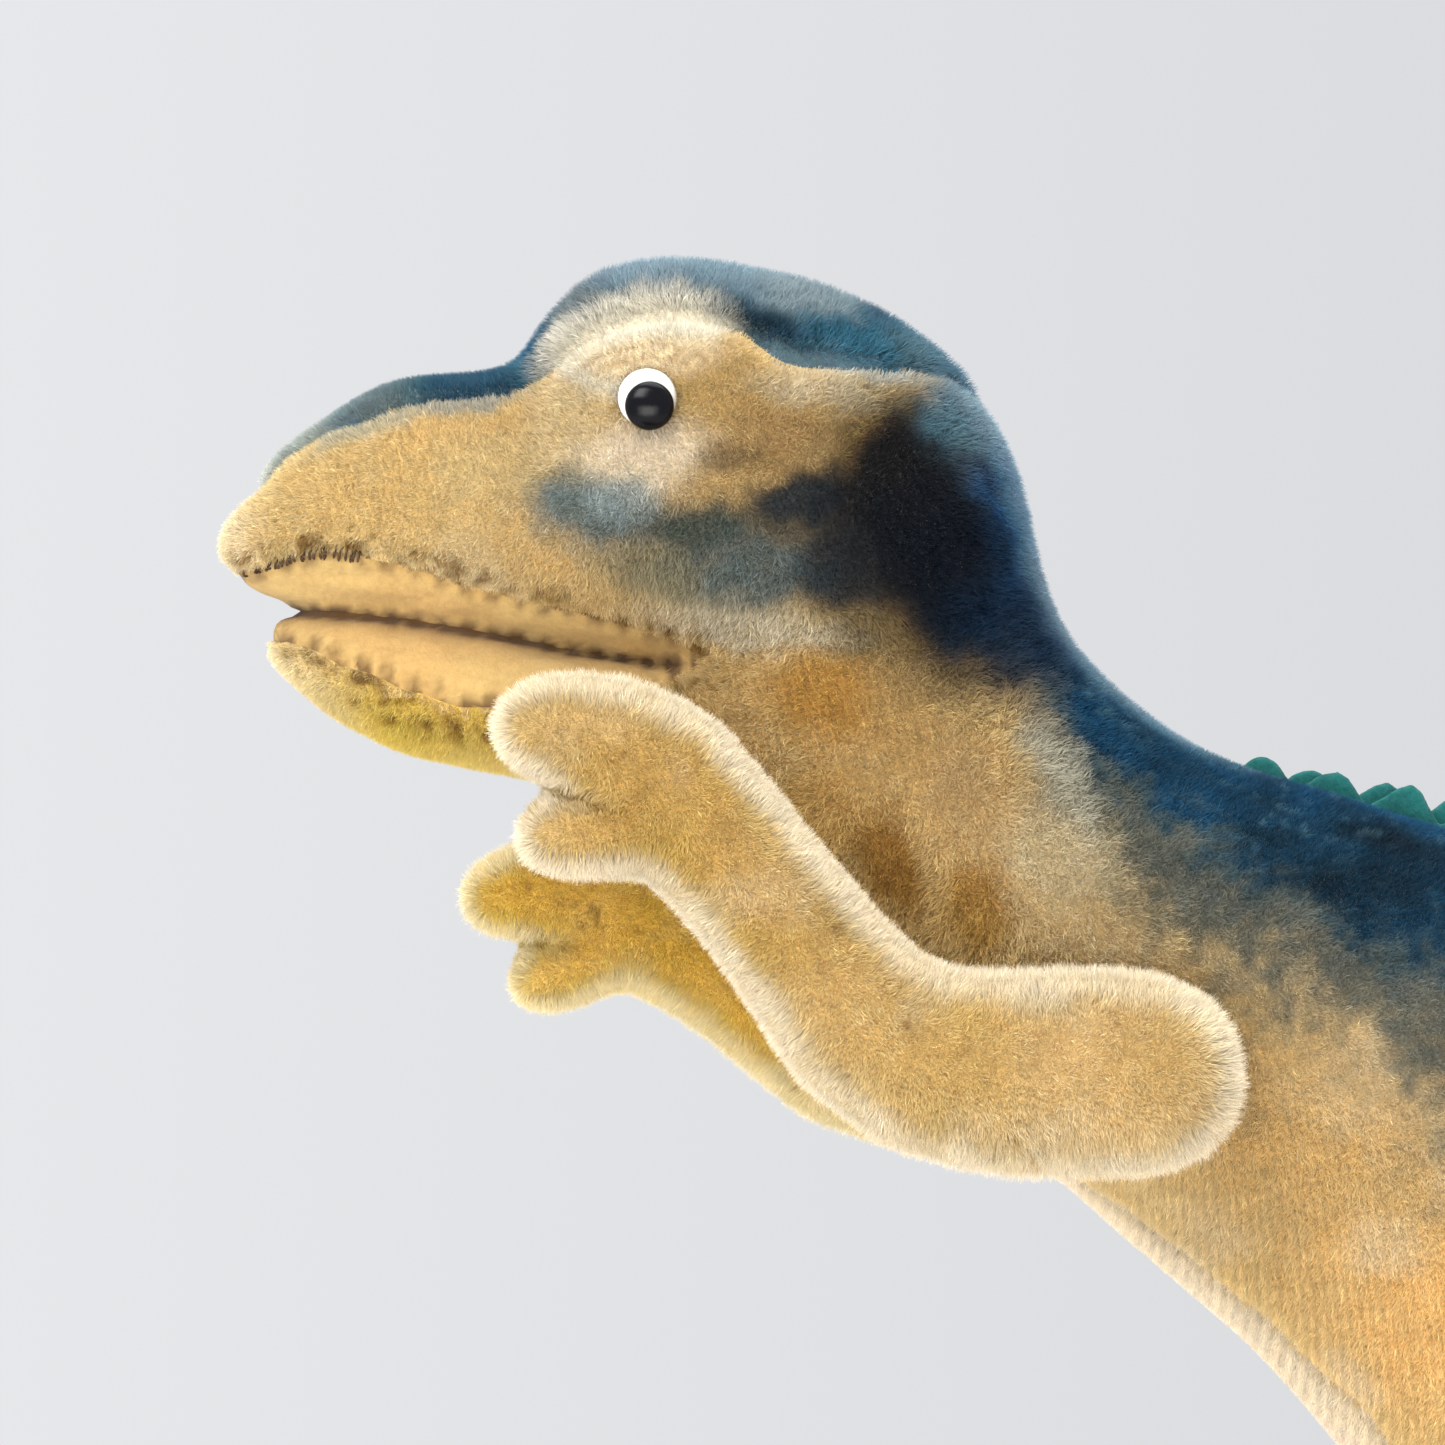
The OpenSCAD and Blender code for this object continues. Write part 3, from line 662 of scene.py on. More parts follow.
def leg_colour(p, part_inner):
    """Colour of a leg: tan with a blue-brown blotch on the thigh and brown toe strokes."""
    warp = edge_warp(p)
    q = p + warp
    y, z = q[:, 1] * 1000, q[:, 2] * 1000
    mottle = smooth_noise(p, 16 * MM, 51)
    colour = np.tile(np.array((0.64, 0.40, 0.15)), (len(p), 1)) + 0.05 * mottle[:, None]
    cream = np.array((0.72, 0.58, 0.37))
    colour = np.where(part_inner[:, None], cream, colour)
    worn = step(smooth_noise(p, 20 * MM, 53) + 0.4 * smooth_noise(p, 5 * MM, 54), -0.7, 0.5)
    thigh = bump(q, -45, 190, 40, 30, 24) * worn
    w = 0.7 * step(thigh, 0.15, 0.85) * ~part_inner
    lay(colour, w, (0.09, 0.12, 0.13))
    shin = bump(q, -70, 84, 13, 26, 8)
    w = 0.6 * step(shin, 0.3, 0.8) * ~part_inner
    lay(colour, w, (0.34, 0.20, 0.07))
    front = 1 - step(y, -112, -92)
    low = 1 - step(z, 18, 30)
    strokes = np.zeros(len(p))
    centre = np.sign(p[:, 0]) * (np.abs(p[:, 0]) * 1000 - 47)
    for offset in (-11, 0, 11):
        strokes = np.maximum(strokes, np.exp(-(((centre - offset) / 1.6) ** 2)))
    w = 0.85 * strokes * front * low
    lay(colour, w, (0.16, 0.08, 0.035))
    return np.clip(colour, 0.003, 1)


# ---------------------------------------------------------------- materials
class Nodes:
    """Short names for building the nodes of a material, or of the world."""

    def __init__(self, owner, output="ShaderNodeOutputMaterial"):
        self.owner = bpy.data.materials.new(owner) if isinstance(owner, str) else owner
        self.owner.use_nodes = True
        self.tree = self.owner.node_tree
        self.tree.nodes.clear()
        self.out = self.add(output)

    def link(self, a, b):
        self.tree.links.new(a, b)

    def feed(self, node, inputs):
        """Sets each input to a number or a colour, or links an output to it."""
        for key, value in inputs.items():
            if isinstance(value, (int, float)):
                node.inputs[key].default_value = value
            elif isinstance(value, (tuple, list)):
                node.inputs[key].default_value = (*value, 1.0)
            else:
                self.link(value, node.inputs[key])

    def add(self, kind, inputs=None, **values):
        node = self.tree.nodes.new(kind)
        for key, value in values.items():
            setattr(node, key, value)
        self.feed(node, inputs or {})
        return node

    def coordinates(self, scale=(1, 1, 1)):
        mapping = self.add(
            "ShaderNodeMapping", {"Vector": self.add("ShaderNodeTexCoord").outputs["Object"]}
        )
        mapping.inputs["Scale"].default_value = scale
        return mapping.outputs["Vector"]

    def noise(self, scale, detail, rough, at):
        inputs = {"Scale": scale, "Detail": detail, "Roughness": rough, "Vector": at}
        return self.add("ShaderNodeTexNoise", inputs).outputs["Fac"]

    def between(self, value, low, high, out_low=0.0, out_high=1.0):
        inputs = {
            "Value": value, "From Min": low, "From Max": high, "To Min": out_low, "To Max": out_high,
        }
        return self.add("ShaderNodeMapRange", inputs).outputs["Result"]

    def mix(self, fac, a, b, mode="MIX"):
        inputs = {0: fac, 6: a, 7: b}
        return self.add("ShaderNodeMix", inputs, data_type="RGBA", blend_type=mode).outputs[2]

    def math(self, op, a, b):
        return self.add("ShaderNodeMath", {0: a, 1: b}, operation=op).outputs[0]

    def attribute(self, name):
        return self.add("ShaderNodeAttribute", attribute_name=name)

    def bumped(self, height, distance):
        inputs = {"Height": height, "Distance": distance, "Strength": 1.0}
        return self.add("ShaderNodeBump", inputs).outputs["Normal"]

    def surface(self, colour, rough, normal=None, **settings):
        inputs = {key.replace("_", " "): value for key, value in settings.items()}
        inputs.update({"Base Color": colour, "Roughness": rough})
        if normal is not None:
            inputs["Normal"] = normal
        shader = self.add("ShaderNodeBsdfPrincipled", inputs)
        self.link(shader.outputs[0], self.out.inputs["Surface"])
        return shader

    def blend(self, fac, a, b):
        """Makes the mix of two shaders the surface."""
        mixed = self.add("ShaderNodeMixShader", {0: fac, 1: a.outputs[0], 2: b.outputs[0]})
        self.link(mixed.outputs[0], self.out.inputs["Surface"])


def mohair(name):
    """Mohair plush without its standing pile: sprayed colour, rows of weave, tufts and worn flecks."""
    m = Nodes(name)
    tint = m.attribute("tint").outputs["Color"]
    at = m.coordinates()
    tufts = m.noise(620, 4, 0.7, at)
    patches = m.noise(60, 3, 0.6, at)
    inputs = {"Scale": 260, "Distortion": 3, "Detail Scale": 2, "Vector": at}
    rows = m.add("ShaderNodeTexWave", inputs, wave_type="BANDS", bands_direction="Z").outputs["Fac"]
    light = m.mix(m.between(tufts, 0.35, 0.72, 0.0, 0.55), tint, (0.80, 0.72, 0.55), "SOFT_LIGHT")
    dark = m.mix(m.between(tufts, 0.5, 0.28, 0.0, 0.35), light, (0.25, 0.15, 0.07), "MULTIPLY")
    broad = m.mix(m.between(patches, 0.3, 0.7, 0.0, 0.25), dark, (0.55, 0.45, 0.30), "SOFT_LIGHT")
    woven = m.mix(m.between(rows, 0, 1, 0.0, 0.05), broad, (0.30, 0.20, 0.10), "MULTIPLY")
    height = m.math("ADD", tufts, m.math("MULTIPLY", rows, 0.06))
    m.surface(
        woven, m.between(tufts, 0.3, 0.7, 0.95, 0.8), m.bumped(height, 0.0012),
        Specular_IOR_Level=0.15, Sheen_Weight=0.35, Sheen_Roughness=0.5,
    )
    return m.owner


def felt(name, colour, shade, scale=900):
    """Pressed wool felt: matted fibres, uneven dye, pilled and soiled patches, seam specks and painted
    mouth shade.
    """
    m = Nodes(name)
    at = m.coordinates()
    fibres = m.noise(scale, 6, 0.75, at)
    soil_and_shade = m.noise(70, 4, 0.6, at)
    base = m.mix(m.between(soil_and_shade, 0.35, 0.7), colour, shade)
    pale = tuple(min(1, c * 1.5 + 0.03) for c in colour)
    fibred = m.mix(m.between(fibres, 0.35, 0.7, 0.0, 0.35), base, pale)
    # The point attribute darkens the felt: brown thread specks along the seams, and painted shade in the
    # mouth's gap and just below it.
    seam = m.attribute("soil_and_shade").outputs["Fac"]
    soiled_and_shaded = m.mix(seam, fibred, (shade[0] * 0.20, shade[1] * 0.16, shade[2] * 0.14))
    m.surface(
        soiled_and_shaded, m.between(fibres, 0.3, 0.7, 0.98, 0.85), m.bumped(fibres, 0.0005),
        Specular_IOR_Level=0.08, Sheen_Weight=0.1, Sheen_Roughness=0.6,
    )
    return m.owner


def pile(name, glow=0.25):
    """Standing mohair fibres: sprayed colour, paler tips, roots darkened as painted shade deep in the
    pile, light through each fibre.
    """
    m = Nodes(name)
    tint = m.attribute("tint").outputs["Color"]
    along = m.add("ShaderNodeHairInfo").outputs["Intercept"]
    pale = m.mix(1.0, m.mix(1.0, tint, (1.35, 1.35, 1.35), "MULTIPLY"), (0.010, 0.010, 0.010), "ADD")
    tip = m.mix(m.between(along, 0.4, 1.0), tint, pale)
    # Painted shade: each fibre turns up to 30 per cent darker towards its root.
    root = m.mix(m.between(along, 0.4, 0.0, 0.0, 0.3), tip, (0.0, 0.0, 0.0))
    shader = m.surface(root, 0.6, Specular_IOR_Level=0.1)
    m.blend(glow, shader, m.add("ShaderNodeBsdfTranslucent", {"Color": tip}))
    return m.owner


def thread(name, colour):
    """Twisted sewing thread."""
    m = Nodes(name)
    twist = m.noise(2500, 3, 0.6, m.coordinates())
    m.surface(m.mix(m.between(twist, 0.3, 0.7), colour, tuple(c * 0.45 for c in colour)), 0.7,
              m.bumped(twist, 0.0002), Specular_IOR_Level=0.3)
    return m.owner


def glass_eye(name, colour, dust, shine):
    """Glossy lacquered button with fine scratches and a little dust in patches."""
    m = Nodes(name)
    scratch = m.noise(1200, 6, 0.8, m.coordinates((1, 6, 1)))
    haze = m.noise(250, 3, 0.6, m.coordinates())
    m.surface(m.mix(m.between(haze, 0.45, 0.8, 0.0, 0.25), colour, dust),
              m.between(scratch, 0.45, 0.8, 0.02, 0.09), m.bumped(scratch, 0.00002),
              Specular_IOR_Level=shine)
    return m.owner


def shavings(name):
    """Packed wood-wool stuffing."""
    m = Nodes(name)
    strands = m.noise(500, 5, 0.7, m.coordinates((1, 0.15, 1)))
    m.surface(m.mix(m.between(strands, 0.3, 0.7), (0.62, 0.47, 0.25), (0.36, 0.24, 0.10)), 0.9,
              m.bumped(strands, 0.001))
    return m.owner


def pressed_card(name):
    """Brown fibre board."""
    m = Nodes(name)
    fibres = m.noise(900, 5, 0.7, m.coordinates())
    m.surface(m.mix(m.between(fibres, 0.35, 0.65), (0.45, 0.31, 0.16), (0.30, 0.20, 0.10)), 0.9,
              m.bumped(fibres, 0.0003))
    return m.owner


def plated_steel(name):
    """Dull plated steel with rust spots."""
    m = Nodes(name)
    wear = m.noise(400, 5, 0.7, m.coordinates((1, 1, 8)))
    m.surface(m.mix(m.between(wear, 0.5, 0.75), (0.55, 0.56, 0.58), (0.22, 0.14, 0.09)),
              m.between(wear, 0.3, 0.7, 0.25, 0.6), m.bumped(wear, 0.0001), Metallic=1.0)
    return m.owner


MATS = {
    "mohair": mohair("mohair_cloth"),
    "lip": felt("peach_felt", (0.53, 0.355, 0.125), (0.48, 0.285, 0.09)),
    "teal": felt("teal_felt", (0.004, 0.13, 0.115), (0.003, 0.055, 0.055)),
    "sole": felt("sole_felt", (0.66, 0.53, 0.33), (0.48, 0.36, 0.20)),
    "pile": pile("mohair_pile"),
    "brown": thread("brown_thread", (0.10, 0.048, 0.022)),
    "cream": thread("cream_thread", (0.68, 0.58, 0.40)),
    "white": glass_eye("eye_white_lacquer", (0.74, 0.74, 0.72), (0.50, 0.44, 0.36), 0.5),
    "black": glass_eye("eye_black_lacquer", (0.002, 0.002, 0.003), (0.01, 0.009, 0.008), 0.14),
    "stuffing": shavings("wood_wool"),
    "card": pressed_card("pressed_card"),
    "steel": plated_steel("plated_steel"),
}


def dress(ob, mat):
    """Gives an object its material."""
    ob.data.materials.clear()
    ob.data.materials.append(MATS[mat])
    return ob


# ---------------------------------------------------------------- standing pile
# The rows of the woven backing under the pile, in mm.
WEAVE_PITCH = 1.25


def fur(
    name, body, points, quads, normals, density, length, lean, colour, radius, seed,
    curl=0.35, rows=None,
):
    """Pile fibres as hair curves.

    density is per square millimetre at the points, length in mm, and lean is a vector. rows is how
    strongly the rows of the weave show in the pile.
    """
    r = np.random.default_rng(seed)
    tri = np.concatenate([quads[:, [0, 1, 2]], quads[:, [0, 2, 3]]])
    a, b, c = (points[tri[:, i]] for i in range(3))
    area = np.linalg.norm(np.cross(b - a, c - a), axis=1) / 2 * 1e6
    count = np.floor(area * density[tri].mean(1) + r.random(len(tri))).astype(int)
    pick = np.repeat(np.arange(len(tri)), count)
    u, v = r.random(len(pick)), r.random(len(pick))
    flip = u + v > 1
    u[flip], v[flip] = 1 - u[flip], 1 - v[flip]
    w = np.stack([1 - u - v, u, v], 1)
    t = tri[pick]

    def at(values):
        return (values[t] * w[..., None]).sum(1) if values.ndim == 2 else (values[t] * w).sum(1)

    root, normal = at(points), at(normals)
    n = len(root)
    if n == 0:
        return None
    size = at(length) * (0.72 + 0.5 * r.random(n)) * MM
    drift = np.stack([smooth_noise(root, 3.2 * MM, seed + k) for k in (3, 4, 5)], 1)
    tuft = np.stack([smooth_noise(root, 1.3 * MM, seed + k) for k in (6, 7, 8)], 1)
    side = at(lean) + (0.10 * drift + 0.20 * tuft) + curl * (r.random((n, 3)) - 0.5)
    side -= (side * normal).sum(1)[:, None] * normal
    steps = 5
    path = np.empty((n, steps, 3), np.float32)
    for k in range(steps):
        s = k / (steps - 1)
        path[:, k] = root + size[:, None] * (normal * (s * (1 - 0.22 * s)) + side * (s ** 1.6))
    path[:, 0] -= (normal * 0.4 * MM).astype(np.float32)
    curves = bpy.data.hair_curves.new(name)
    curves.add_curves([steps] * n)
    curves.position_data.foreach_set("vector", path.ravel())
    thick = curves.attributes.new("radius", "FLOAT", "POINT")
    taper = np.array([1, 0.95, 0.8, 0.55, 0.18], np.float32) * radius * MM
    girth = np.repeat(0.8 + 0.4 * r.random(n), steps)
    thick.data.foreach_set("value", (np.tile(taper, n) * girth).astype(np.float32))
    tone = fibre(colour(root, t, w))
    shade = (0.84 + 0.32 * r.random(n)) * (1 + 0.08 * tuft[:, 0] + 0.08 * drift[:, 0])
    shade *= 1 + 0.9 * (r.random(n) > 0.985)
    if rows is not None:
        turns = 2 * math.pi / WEAVE_PITCH * 1000
        a, b = (turns * (root[:, 1] * c + root[:, 2] * d) for c, d in ((1, 0.2), (-0.2, 1)))
        shade *= 1 + at(rows) * (np.sin(a) + 0.6 * np.sin(b))
    tone = np.clip(tone * shade[:, None], 0, 1)
    tint = curves.attributes.new("tint", "FLOAT_COLOR", "CURVE")
    tint.data.foreach_set("color", np.c_[tone, np.ones(n)].astype(np.float32).ravel())
    ob = bpy.data.objects.new(name, curves)
    scene.collection.objects.link(ob)
    ob.data.materials.append(MATS["pile"])
    ob.parent = frame["bodies"][body]
    return ob


# ---------------------------------------------------------------- torso
TORSO_SKINS = [
    "side_panel_left", "side_panel_right", "head_gusset", "belly_panel", "chin_panel",
    "palate_lining", "jaw_lining",
]
# Labels are places in this list. The felts are the last two.
GUSSET = TORSO_SKINS.index("head_gusset")
PALATE = TORSO_SKINS.index("palate_lining")
torso = Group(TORSO_SKINS, ["head_stuffing", "body_stuffing", "tail_stuffing"], 1.05 * MM, 0.9)
p = torso.points
face = step(p[:, 1] * 1000, -150, -185)
lips = bump(p, -228, 380, 40, 9, 0)
tip = step(p[:, 1] * 1000, 150, 240)
torso.points = relax(p, torso.edges, 0.5 * np.ones(torso.n) * (1 - 0.75 * lips), 16)
torso.points = relax(torso.points, torso.edges, 0.6 * (1 - face) * (1 - 0.6 * tip), 130)
torso.cut()
face = step(torso.points[:, 1] * 1000, -150, -185)
press_out(torso, 6.5 * MM, np.clip(1.2 * torso.near + 0.85 * face, 0, 1), 1.6)

p = torso.points
x_mm = np.abs(p[:, 0]) * 1000
outside = step(x_mm, 6, 11)
face = step(p[:, 1] * 1000, -150, -185)
lump = 0.8 * smooth_noise(p, 30 * MM, 61) * (1 - face) + 0.35 * smooth_noise(p, 11 * MM, 62)
felted = np.isin(np.arange(torso.n), np.unique(torso.quads[torso.label >= PALATE])).astype(float)
rumple = 0.45 * smooth_noise(p * np.array((1, 0.6, 1.4)), 2.6 * MM, 65) * felted
shape = 0.35 * (1 - face) + lump * (1 - 0.7 * felted) + rumple
shape += outside * (
    1.6 * bump(p, -201, 415.5, 11, 4.0, 6)
    - 1.5 * bump(p, -204, 407.5, 7.5, 5.5)
    + 0.9 * bump(p, -208, 400.5, 9, 3.2, 6)
    - 1.0 * bump(p, -189, 401, 7, 3.5, 25)
    - 0.9 * bump(p, -218, 408, 5, 6, -30)
    - 1.3 * bump(p, -190, 376, 6, 4)
    - 1.0 * bump(p, -173, 377, 4, 3.5)
    - 1.4 * bump(p, -170, 350, 4, 11, 15)
    + 0.8 * bump(p, -181, 358, 6, 9)
    - 0.8 * bump(p, -196, 382.5, 9, 2.6, -15)
)
shape += (
    1.7 * bump(p, -236, 409, 13, 8, 6)
    + 0.9 * bump(p, -196, 424, 24, 6, -8)
    - 2.2 * bump(p, -256, 398, 5, 5)
)
shape += 0.4 * bump(p, -231, 363, 17, 6, -10)
groove = 0.9 * torso.near ** 2 * (1 - 0.5 * felted)
torso.move(shape - groove)
# The mouth: a gap pressed in between the two felt linings, darkened further below with painted shade
p = torso.points
mouth = np.interp(p[:, 1] * 1000, *MOUTH_LINE)
gap = np.exp(-(((p[:, 2] * 1000 - mouth) / 0.75) ** 2))
gap *= step(-p[:, 1] * 1000, 196, 201) * step(felted, 0.1, 0.9)
edge = np.exp(-(((p[:, 2] * 1000 - mouth) / 1.8) ** 2)) * step(-p[:, 1] * 1000, 198, 206) * felted
torso.move(0.55 * edge - 0.5 * gap)
torso.points[:, 2] = np.maximum(torso.points[:, 2], LOWEST)
torso_normal = normals_of(torso.points, torso.quads)

names = np.array(TORSO_SKINS)
vertex_part = np.zeros(torso.n, int)
vertex_part[torso.quads.ravel()] = np.repeat(torso.label, 4)
for k, name in enumerate(TORSO_SKINS):
    used, faces = torso.panel(k)
    tint = torso_colour(torso.points[used], np.full(len(used), name))
    # Painted shade on the felts: darker just below the mouth line and in the gap, and darker on the
    # jaw's felt towards its front. Brown thread specks along the seams are added to it.
    below = mouth[used] - torso.points[used, 2] * 1000
    deep_part = step(-torso.points[used, 1] * 1000, 204, 222)
    shadow = np.exp(-((below / 2.0) ** 2)) * (0.06 + 0.34 * deep_part if name == "jaw_lining" else 0.06)
    shadow += 0.12 * deep_part if name == "jaw_lining" else 0.0
    wear = smooth_noise(torso.points[used], 1.3 * MM, 38)
    wear += 0.8 * np.sin(torso.points[used, 1] * 1000 * 2 * math.pi / LIP_SCALLOP)
    soil_and_shade = np.clip(shadow + 0.6 * gap[used] + 0.75 * torso.near[used] * step(wear, -0.8, 0.6), 0, 1)
    cloth_name = name.replace("_lining", "_felt") + "_cloth"
    ob = new_mesh(cloth_name, torso.points[used], faces, tint, {"soil_and_shade": soil_and_shade})
    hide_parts(name)
    is_felt = k >= PALATE
    dress(ob, "lip" if is_felt else "mohair")
    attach(ob, "torso")

pack_stuffing(torso, ["head_stuffing", "body_stuffing", "tail_stuffing"], "torso", 1.8)

# Pile on the torso
tq = torso.quads[torso.label < PALATE]
p = torso.points
y_mm, z_mm = p[:, 1] * 1000, p[:, 2] * 1000
shown = step(-y_mm, 78, 98) * step(z_mm, 252, 273) * step(p[:, 0] * 1000, -18, -8)
length = 2.05 - 0.35 * step(y_mm, -158, -148) - 0.45 * step(-y_mm, 212, 230)
length += 0.25 * smooth_noise(p, 14 * MM, 71)
length += 0.9 * (vertex_part == GUSSET) * (1 - step(-y_mm, 216, 222))
length += 0.5 * step(y_mm, -170, -162) * (1 - step(y_mm, -150, -130))
length -= 0.6 * bump(p, -203, 408, 7, 5) + 0.7 * bump(p, -230, 378, 26, 7)
parted = torso.near * (bump(p, -201, 418, 13, 5, 8) + bump(p, -180, 414, 10, 4, -5))
length *= (1 - 0.7 * np.clip(parted, 0, 1)) * (1 - 0.5 * bump(p, -202.5, 414.8, 11, 3, 3))
length -= 0.7 * (1 - step(back_distance(p, BACK), 2, 8)) * step(y_mm, -140, -130)
length *= 1 - 0.6 * np.exp(-(((z_mm - np.interp(y_mm, *UPPER_LIP)) / 2.0) ** 2)) * step(-y_mm, 190, 200)
length = np.clip(length, 0.8, 4.4)
flow = np.stack([np.zeros(torso.n), 0.06 + 0.08 * step(y_mm, -180, -120), np.full(torso.n, -0.12)], 1)
flow[:, 1] -= 0.15 * step(-y_mm, 208, 222)
part_of_point = names[vertex_part]


def torso_strand(root, t, w):
    return torso_colour(root, part_of_point[t[:, 0]])


def rest_strand(root, t, w):
    return 0.86 * torso_strand(root, t, w)


dense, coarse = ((26.0, 1.8))
bald = np.clip(1.4 * parted, 0, 1)
weave = 0.05 + 0.13 * bump(p, -190, 386, 14, 10) + 0.13 * bump(p, -178, 368, 12, 10)
weave += 0.05 * step(y_mm, -150, -130)
fur("pile_torso_front", "torso", p, tq, torso_normal, dense * shown * (1 - bald), length, flow,
    torso_strand, 0.033, 81, curl=0.5, rows=weave)
fur("pile_torso_rest", "torso", p, tq, torso_normal, coarse * (1 - shown), length * 1.05, flow,
    rest_strand, 0.15, 82)


# ---------------------------------------------------------------- arms and legs
def limb(prefix, body, voxel, sigma, rounds, colour, pile_args):
    """A stuffed limb: its two panels, its stuffing and its pile."""
    panels, extra = [prefix + "_outer", prefix + "_inner"], [prefix + "_stuffing"]
    g = Group(panels, extra, voxel, sigma)
    g.points = relax(g.points, g.edges, np.full(g.n, 0.5), rounds)
    g.cut()
    press_out(g, 4.5 * MM, np.clip(1.2 * g.near, 0, 1), 1.0)
    g.move(0.3 * smooth_noise(g.points, 12 * MM, 63) + pile_args["swell"] - 0.7 * g.near ** 2)
    g.points[:, 2] = np.maximum(g.points[:, 2], LOWEST)
    normal = normals_of(g.points, g.quads)
    if prefix.endswith("arm"):
        q = turned(g.points, prefix.startswith("right"))
        side_on = 1 - step(np.abs(normal[:, 0]), 0.5, 0.95)
        finger_crease = 1.6 * bump(q, -211, 358.8, 5.5, 1.4, -20)
        g.move(-side_on * (1.4 + 0.8 * bump(q, -180.5, 357, 15, 7, -47)) - finger_crease)
        normal = normals_of(g.points, g.quads)
    rim = 1 - step(np.abs(normal[:, 0]) + 0.14 * smooth_noise(g.points, 3 * MM, 64), 0.25, 0.80)
    inner_point = np.zeros(g.n, bool)
    inner_point[np.unique(g.quads[g.label == 1])] = True
    for k, name in enumerate(panels):
        used, faces = g.panel(k)
        tint = colour(g.points[used], rim[used], np.full(len(used), k == 1))
        ob = new_mesh(name + "_cloth", g.points[used], faces, tint, {"soil_and_shade": np.zeros(len(used))})
        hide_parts(name)
        dress(ob, "mohair")
        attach(ob, body)
    pack_stuffing(g, extra, body)
    base = np.full(g.n, pile_args["length"]) + pile_args["fringe"] * rim
    if prefix.endswith("arm"):
        base += 0.6 * step(q[:, 1] * 1000, -138, -133) * rim - 0.5 * bump(q, -217, 357, 4, 4)
    flow = np.tile(np.array(pile_args["flow"], float), (g.n, 1)) * (1 - rim)[:, None]
    soles = step(g.points[:, 2] * 1000, 2.2, 3.5) if prefix.endswith("leg") else np.ones(g.n)
    fur("pile_" + prefix, body, g.points, g.quads, normal, pile_args["density"] * soles, base, flow,
        lambda root, t, w: colour(root, (rim[t] * w).sum(1), inner_point[t[:, 0]]),
        pile_args["radius"], pile_args["seed"])


arm_density = 25.0
for side, far in (("left", False), ("right", True)):
    limb(
        side + "_arm", side + "_arm", 0.85 * MM, 0.9, 14,
        lambda q, rim, inner, far=far: arm_colour(q, rim, inner, far),
        {"swell": 0.1, "length": 1.8, "fringe": 1.3, "flow": (0, 0.06, -0.12), "density": arm_density,
         "radius": 0.033, "seed": 91 + far},
    )
leg_density = 1.3
for side in ("left", "right"):
    limb(
        side + "_leg", "torso", 1.4 * MM, 1.0, 60,
        lambda q, rim, inner: leg_colour(q, inner),
        {"swell": 0.4, "length": 2.6, "fringe": 0.4, "flow": (0, 0.06, -0.15), "density": leg_density,
         "radius": 0.15, "seed": 95 + (side == "left")},
    )


def comb(name, seed):
    """One felt row of the back comb."""
    points, quads = skin_of([name], 0.45 * MM, 0.45)
    edges = edges_of(quads)
    points = relax(points, edges, np.full(len(points), 0.5), 2)
    d = back_distance(points, BACK)
    lift = np.clip(d / 10, 0, 1.2)
    wave = np.sin(points[:, 1] * 1000 * 2 * math.pi / 17 + seed) * 0.55
    wave += 0.5 * smooth_noise(points, 9 * MM, seed)
    lean = 0.6 if "left" in name else -0.6
    if "right" in name:
        run_of = np.gradient(BACK[2:], axis=0)
        run_of /= np.linalg.norm(run_of, axis=1)[:, None]
        for k in (1, 2):
            points[:, k] += 2.3 * MM * np.interp(points[:, 1], BACK[2:, 1], run_of[:, k])
    points[:, 0] += (wave * 0.9 + lean) * lift * MM
    points[:, 2] -= 1.4 * MM * (1 - step(d, 0.8, 3.5))
    ob = new_mesh(name + "_felt", points, quads, None, {"soil_and_shade": np.zeros(len(points))})
    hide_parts(name)
    dress(ob, "teal")
    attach(ob, "torso")


comb("crest_left", 3)
comb("crest_right", 5)


# ---------------------------------------------------------------- eyes
def ring_faces(rings, sides, base=0):
    """The faces that join each ring of points to the next."""
    faces = []
    for i in range(base, base + (rings - 1) * sides, sides):
        for k in range(sides):
            n = (k + 1) % sides
            faces.append((i + k, i + n, i + sides + n, i + sides + k))
    return faces


def lathe(profile, segments=64):
    """A round piece about +X from (radius, height) pairs in mm."""
    pts = []
    for radius, height in profile:
        for k in range(segments):
            a = 2 * math.pi * k / segments
            pts.append((height * MM, radius * math.cos(a) * MM, radius * math.sin(a) * MM))
    return np.array(pts), np.array(ring_faces(len(profile), segments))


def dome(radius, rise, base, steps=18):
    """The profile of a lens-shaped button."""
    out = [(0.02, -base), (radius * 0.96, -base), (radius, -base + 0.3)]
    for k in range(steps + 1):
        a = k / steps * math.pi / 2
        out.append((max(radius * math.cos(a), 0.02), rise * math.sin(a)))
    return out


for side in ("left", "right"):
    sign = 1 if side == "left" else -1
    for kind, mat, slot, radius, rise in (
        ("eye_white", "white", "eye_white", 3.8, 1.7),
        ("pupil", "black", "eye_black", 3.15, 1.75),
    ):
        node_name = side + "_" + kind
        low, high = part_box(node_name)
        pts, faces = lathe(dome(radius, rise, 1.0))
        centre = (low + high) / 2
        x_top = high.x if sign > 0 else low.x
        pts[:, 0] = pts[:, 0] * sign
        if sign < 0:
            faces = faces[:, ::-1]
        proud = sign * (0.35 * MM if kind == "pupil" else 0)
        aside = np.array((0, 0.35, 0.4)) * MM
        if kind == "pupil":
            aside += np.array((0, -0.2, -0.65)) * MM
        pts += aside + np.array((x_top - sign * rise * MM + proud, centre.y, centre.z))
        ob = new_mesh(node_name + "_button", pts, faces)
        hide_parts(node_name)
        dress(ob, mat)
        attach(ob, "torso")


